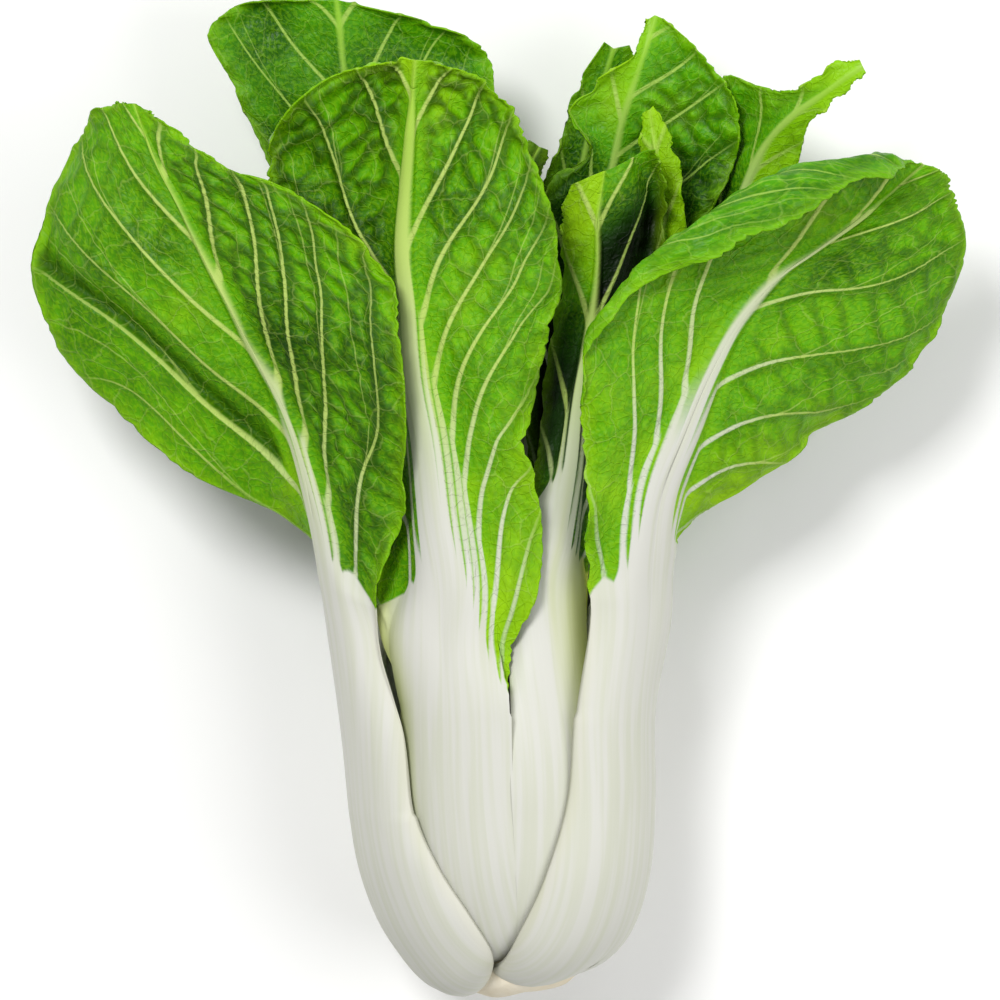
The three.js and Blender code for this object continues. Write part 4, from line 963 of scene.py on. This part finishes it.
def root_material():
    """The cut root plate: dry, fibrous cream flesh, matt, with fibres 2.4 mm apart and brownish patches
    11 mm across where the knife went through."""
    material, tree = new_material("cut_root_flesh")
    place = node(tree, "TexCoord").outputs["Object"]
    grain = node(tree, "TexNoise", [("Vector", place), ("Scale", 420.0), ("Detail", 6.0)]).outputs["Fac"]
    patch = node(tree, "TexNoise", [("Vector", place), ("Scale", 90.0), ("Detail", 3.0)]).outputs["Fac"]
    brown = node(tree, "Mix", [(0, patch), (6, linear("#F0EBDD")), (7, linear("#D3C199"))],
                 data_type="RGBA").outputs[2]
    bump = node(tree, "Bump", [("Strength", 0.7), ("Distance", 0.0006), ("Height", grain)]).outputs[0]
    shader = node(tree, "BsdfPrincipled", [("Base Color", brown), ("Roughness", 0.68), ("IOR", 1.4),
                                           ("Normal", bump)]).outputs[0]
    finish_material(tree, shader)
    return material


def root_piece(material):
    """The core turned about its own axis: its profile smoothed by a Catmull-Rom curve, with shallow
    lobes round it and a faintly dished, uneven cut, squashed, tilted and put in its place."""
    profile = np.array(CORE, float)
    f = np.linspace(0, 1, 71)[1:-1]
    ring = catmull(np.column_stack([profile, np.zeros(len(profile))]), f)
    turns = 96
    angle = np.arange(turns) * 2 * np.pi / turns
    radius = np.maximum(ring[:, 0:1], 0.3)
    lobes = 1 + 0.02 * np.sin(5 * angle + 1)[None, :] * smooth(radius / 20)
    r = radius * lobes
    y = ring[:, 1:2] + 0.5 * np.sin(3 * angle + radius / 3) * smooth((4 - ring[:, 1:2]) / 4)
    across, upwards = r * np.cos(angle), SQUASH * r * np.sin(angle)
    grid = np.stack([across, np.broadcast_to(y, r.shape), upwards], axis=-1)
    tilt = np.radians(CORE_TILT)
    ends = np.array([[0, 0, 0], [0, CORE[-1][1], 0]], float)
    points = np.concatenate([grid.reshape(-1, 3), ends])
    x, y = points[:, 0].copy(), points[:, 1].copy()
    points[:, 0] = x * np.cos(tilt) - y * np.sin(tilt) + CORE_X
    points[:, 1] = x * np.sin(tilt) + y * np.cos(tilt) + CORE[1][0] * np.sin(tilt)
    points[:, 2] += AXIS_HEIGHT
    rows = len(f)
    at = np.arange(rows * turns).reshape(rows, turns)
    nxt = np.roll(at, -1, axis=1)
    sides = np.stack([at[:-1], at[1:], nxt[1:], nxt[:-1]], axis=-1).reshape(-1, 4)
    start = np.column_stack([at[0], nxt[0], np.full(turns, rows * turns)])
    end = np.column_stack([nxt[-1], at[-1], np.full(turns, rows * turns + 1)])
    mesh = bpy.data.meshes.new("root_plate")
    faces = sides.tolist() + start.tolist() + end.tolist()
    mesh.from_pydata(((points + SHIFT) / 1000).tolist(), [], faces)
    mesh.materials.append(material)
    mesh.polygons.foreach_set("use_smooth", np.ones(len(mesh.polygons), bool))
    mesh.update()
    obj = bpy.data.objects.new("root_plate", mesh)
    bpy.context.collection.objects.link(obj)
    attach(obj, "root")
    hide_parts("core")
    return obj


def set_camera():
    """Straight down on the head from 1.5 m over its middle, where 330 mm fills the frame's width."""
    data = bpy.data.cameras.new("camera")
    data.sensor_width = 36
    data.lens = data.sensor_width * 1500 / 330
    data.clip_end = 20
    camera = bpy.data.objects.new("camera", data)
    camera.location = (0.00042, -0.00045, 1.55)
    bpy.context.collection.objects.link(camera)
    bpy.context.scene.camera = camera


def area_light(name, place, aim, size, power):
    """A square white soft box that faces a point."""
    data = bpy.data.lights.new(name, "AREA")
    data.size = size
    data.energy = power
    lamp = bpy.data.objects.new(name, data)
    lamp.location = place
    lamp.rotation_euler = (Vector(aim) - Vector(place)).to_track_quat("-Z", "Y").to_euler()
    bpy.context.collection.objects.link(lamp)


def set_studio():
    """A plain pale table, 6 m wide and a hair below the head, and three soft boxes: the key above and
    to the upper left, a fill, and a rim."""
    data = bpy.data.meshes.new("table_top")
    x = 3.0
    low = -0.0002
    data.from_pydata([(-x, -x, low), (x, -x, low), (x, x, low), (-x, x, low)], [], [(0, 1, 2, 3)])
    table = bpy.data.objects.new("table_top", data)
    bpy.context.collection.objects.link(table)
    # Matt painted board: near white, its tone hardly changing.
    material, tree = new_material("pale_table")
    grain = node(tree, "TexNoise", [("Vector", node(tree, "TexCoord").outputs["Object"]),
                                    ("Scale", 3.0)]).outputs["Fac"]
    tint = node(tree, "Mix", [(0, grain), (6, linear("#F4F4F2")), (7, linear("#F8F8F7"))],
                data_type="RGBA").outputs[2]
    board = node(tree, "BsdfPrincipled", [("Base Color", tint), ("Roughness", 0.9)]).outputs[0]
    finish_material(tree, board)
    data.materials.append(material)
    area_light("key", (-0.55, 0.7, 1.6), (0, 0, 0.03), 0.55, 22)
    area_light("fill", (1.1, -0.3, 1.3), (0, 0, 0.03), 1.0, 12)
    area_light("rim", (0.5, 1.4, 0.7), (0, 0.1, 0.05), 0.6, 4)
    world = bpy.data.worlds.new("studio")
    world.use_nodes = True
    back = world.node_tree.nodes["Background"]
    back.inputs["Color"].default_value = (1, 1, 1, 1)
    back.inputs["Strength"].default_value = 0.37
    bpy.context.scene.world = world


set_camera()
bpy.context.scene.view_settings.view_transform = "Standard"
outer_finish = leaf_material("leaf_outer_skin", deep="#285A04", mid="#559B00", light="#90C208",
                             vein="#B2C866", white="#CECEC6", roughness=0.46, gloss=0.18, relief=0.0006)
inner_finish = leaf_material("leaf_inner_skin", deep="#1E5004", mid="#4A9500", light="#88C20C",
                             vein="#A2C456", white="#CED1C2", roughness=0.4, gloss=0.2, relief=0.0005)
for leaf in LEAVES:
    sheet = Sheet(leaf)
    shell, values = stalk_shell(sheet, leaf["sizes"])
    piece(leaf["name"] + "_stalk_skin", shell, values, (outer_finish, inner_finish),
          leaf["name"] + "_stalk")
    shell, values = blade_shell(sheet, leaf["sizes"])
    piece(leaf["name"] + "_blade_skin", shell, values, (outer_finish, inner_finish),
          leaf["name"] + "_blade")
root_piece(root_material())
set_studio()
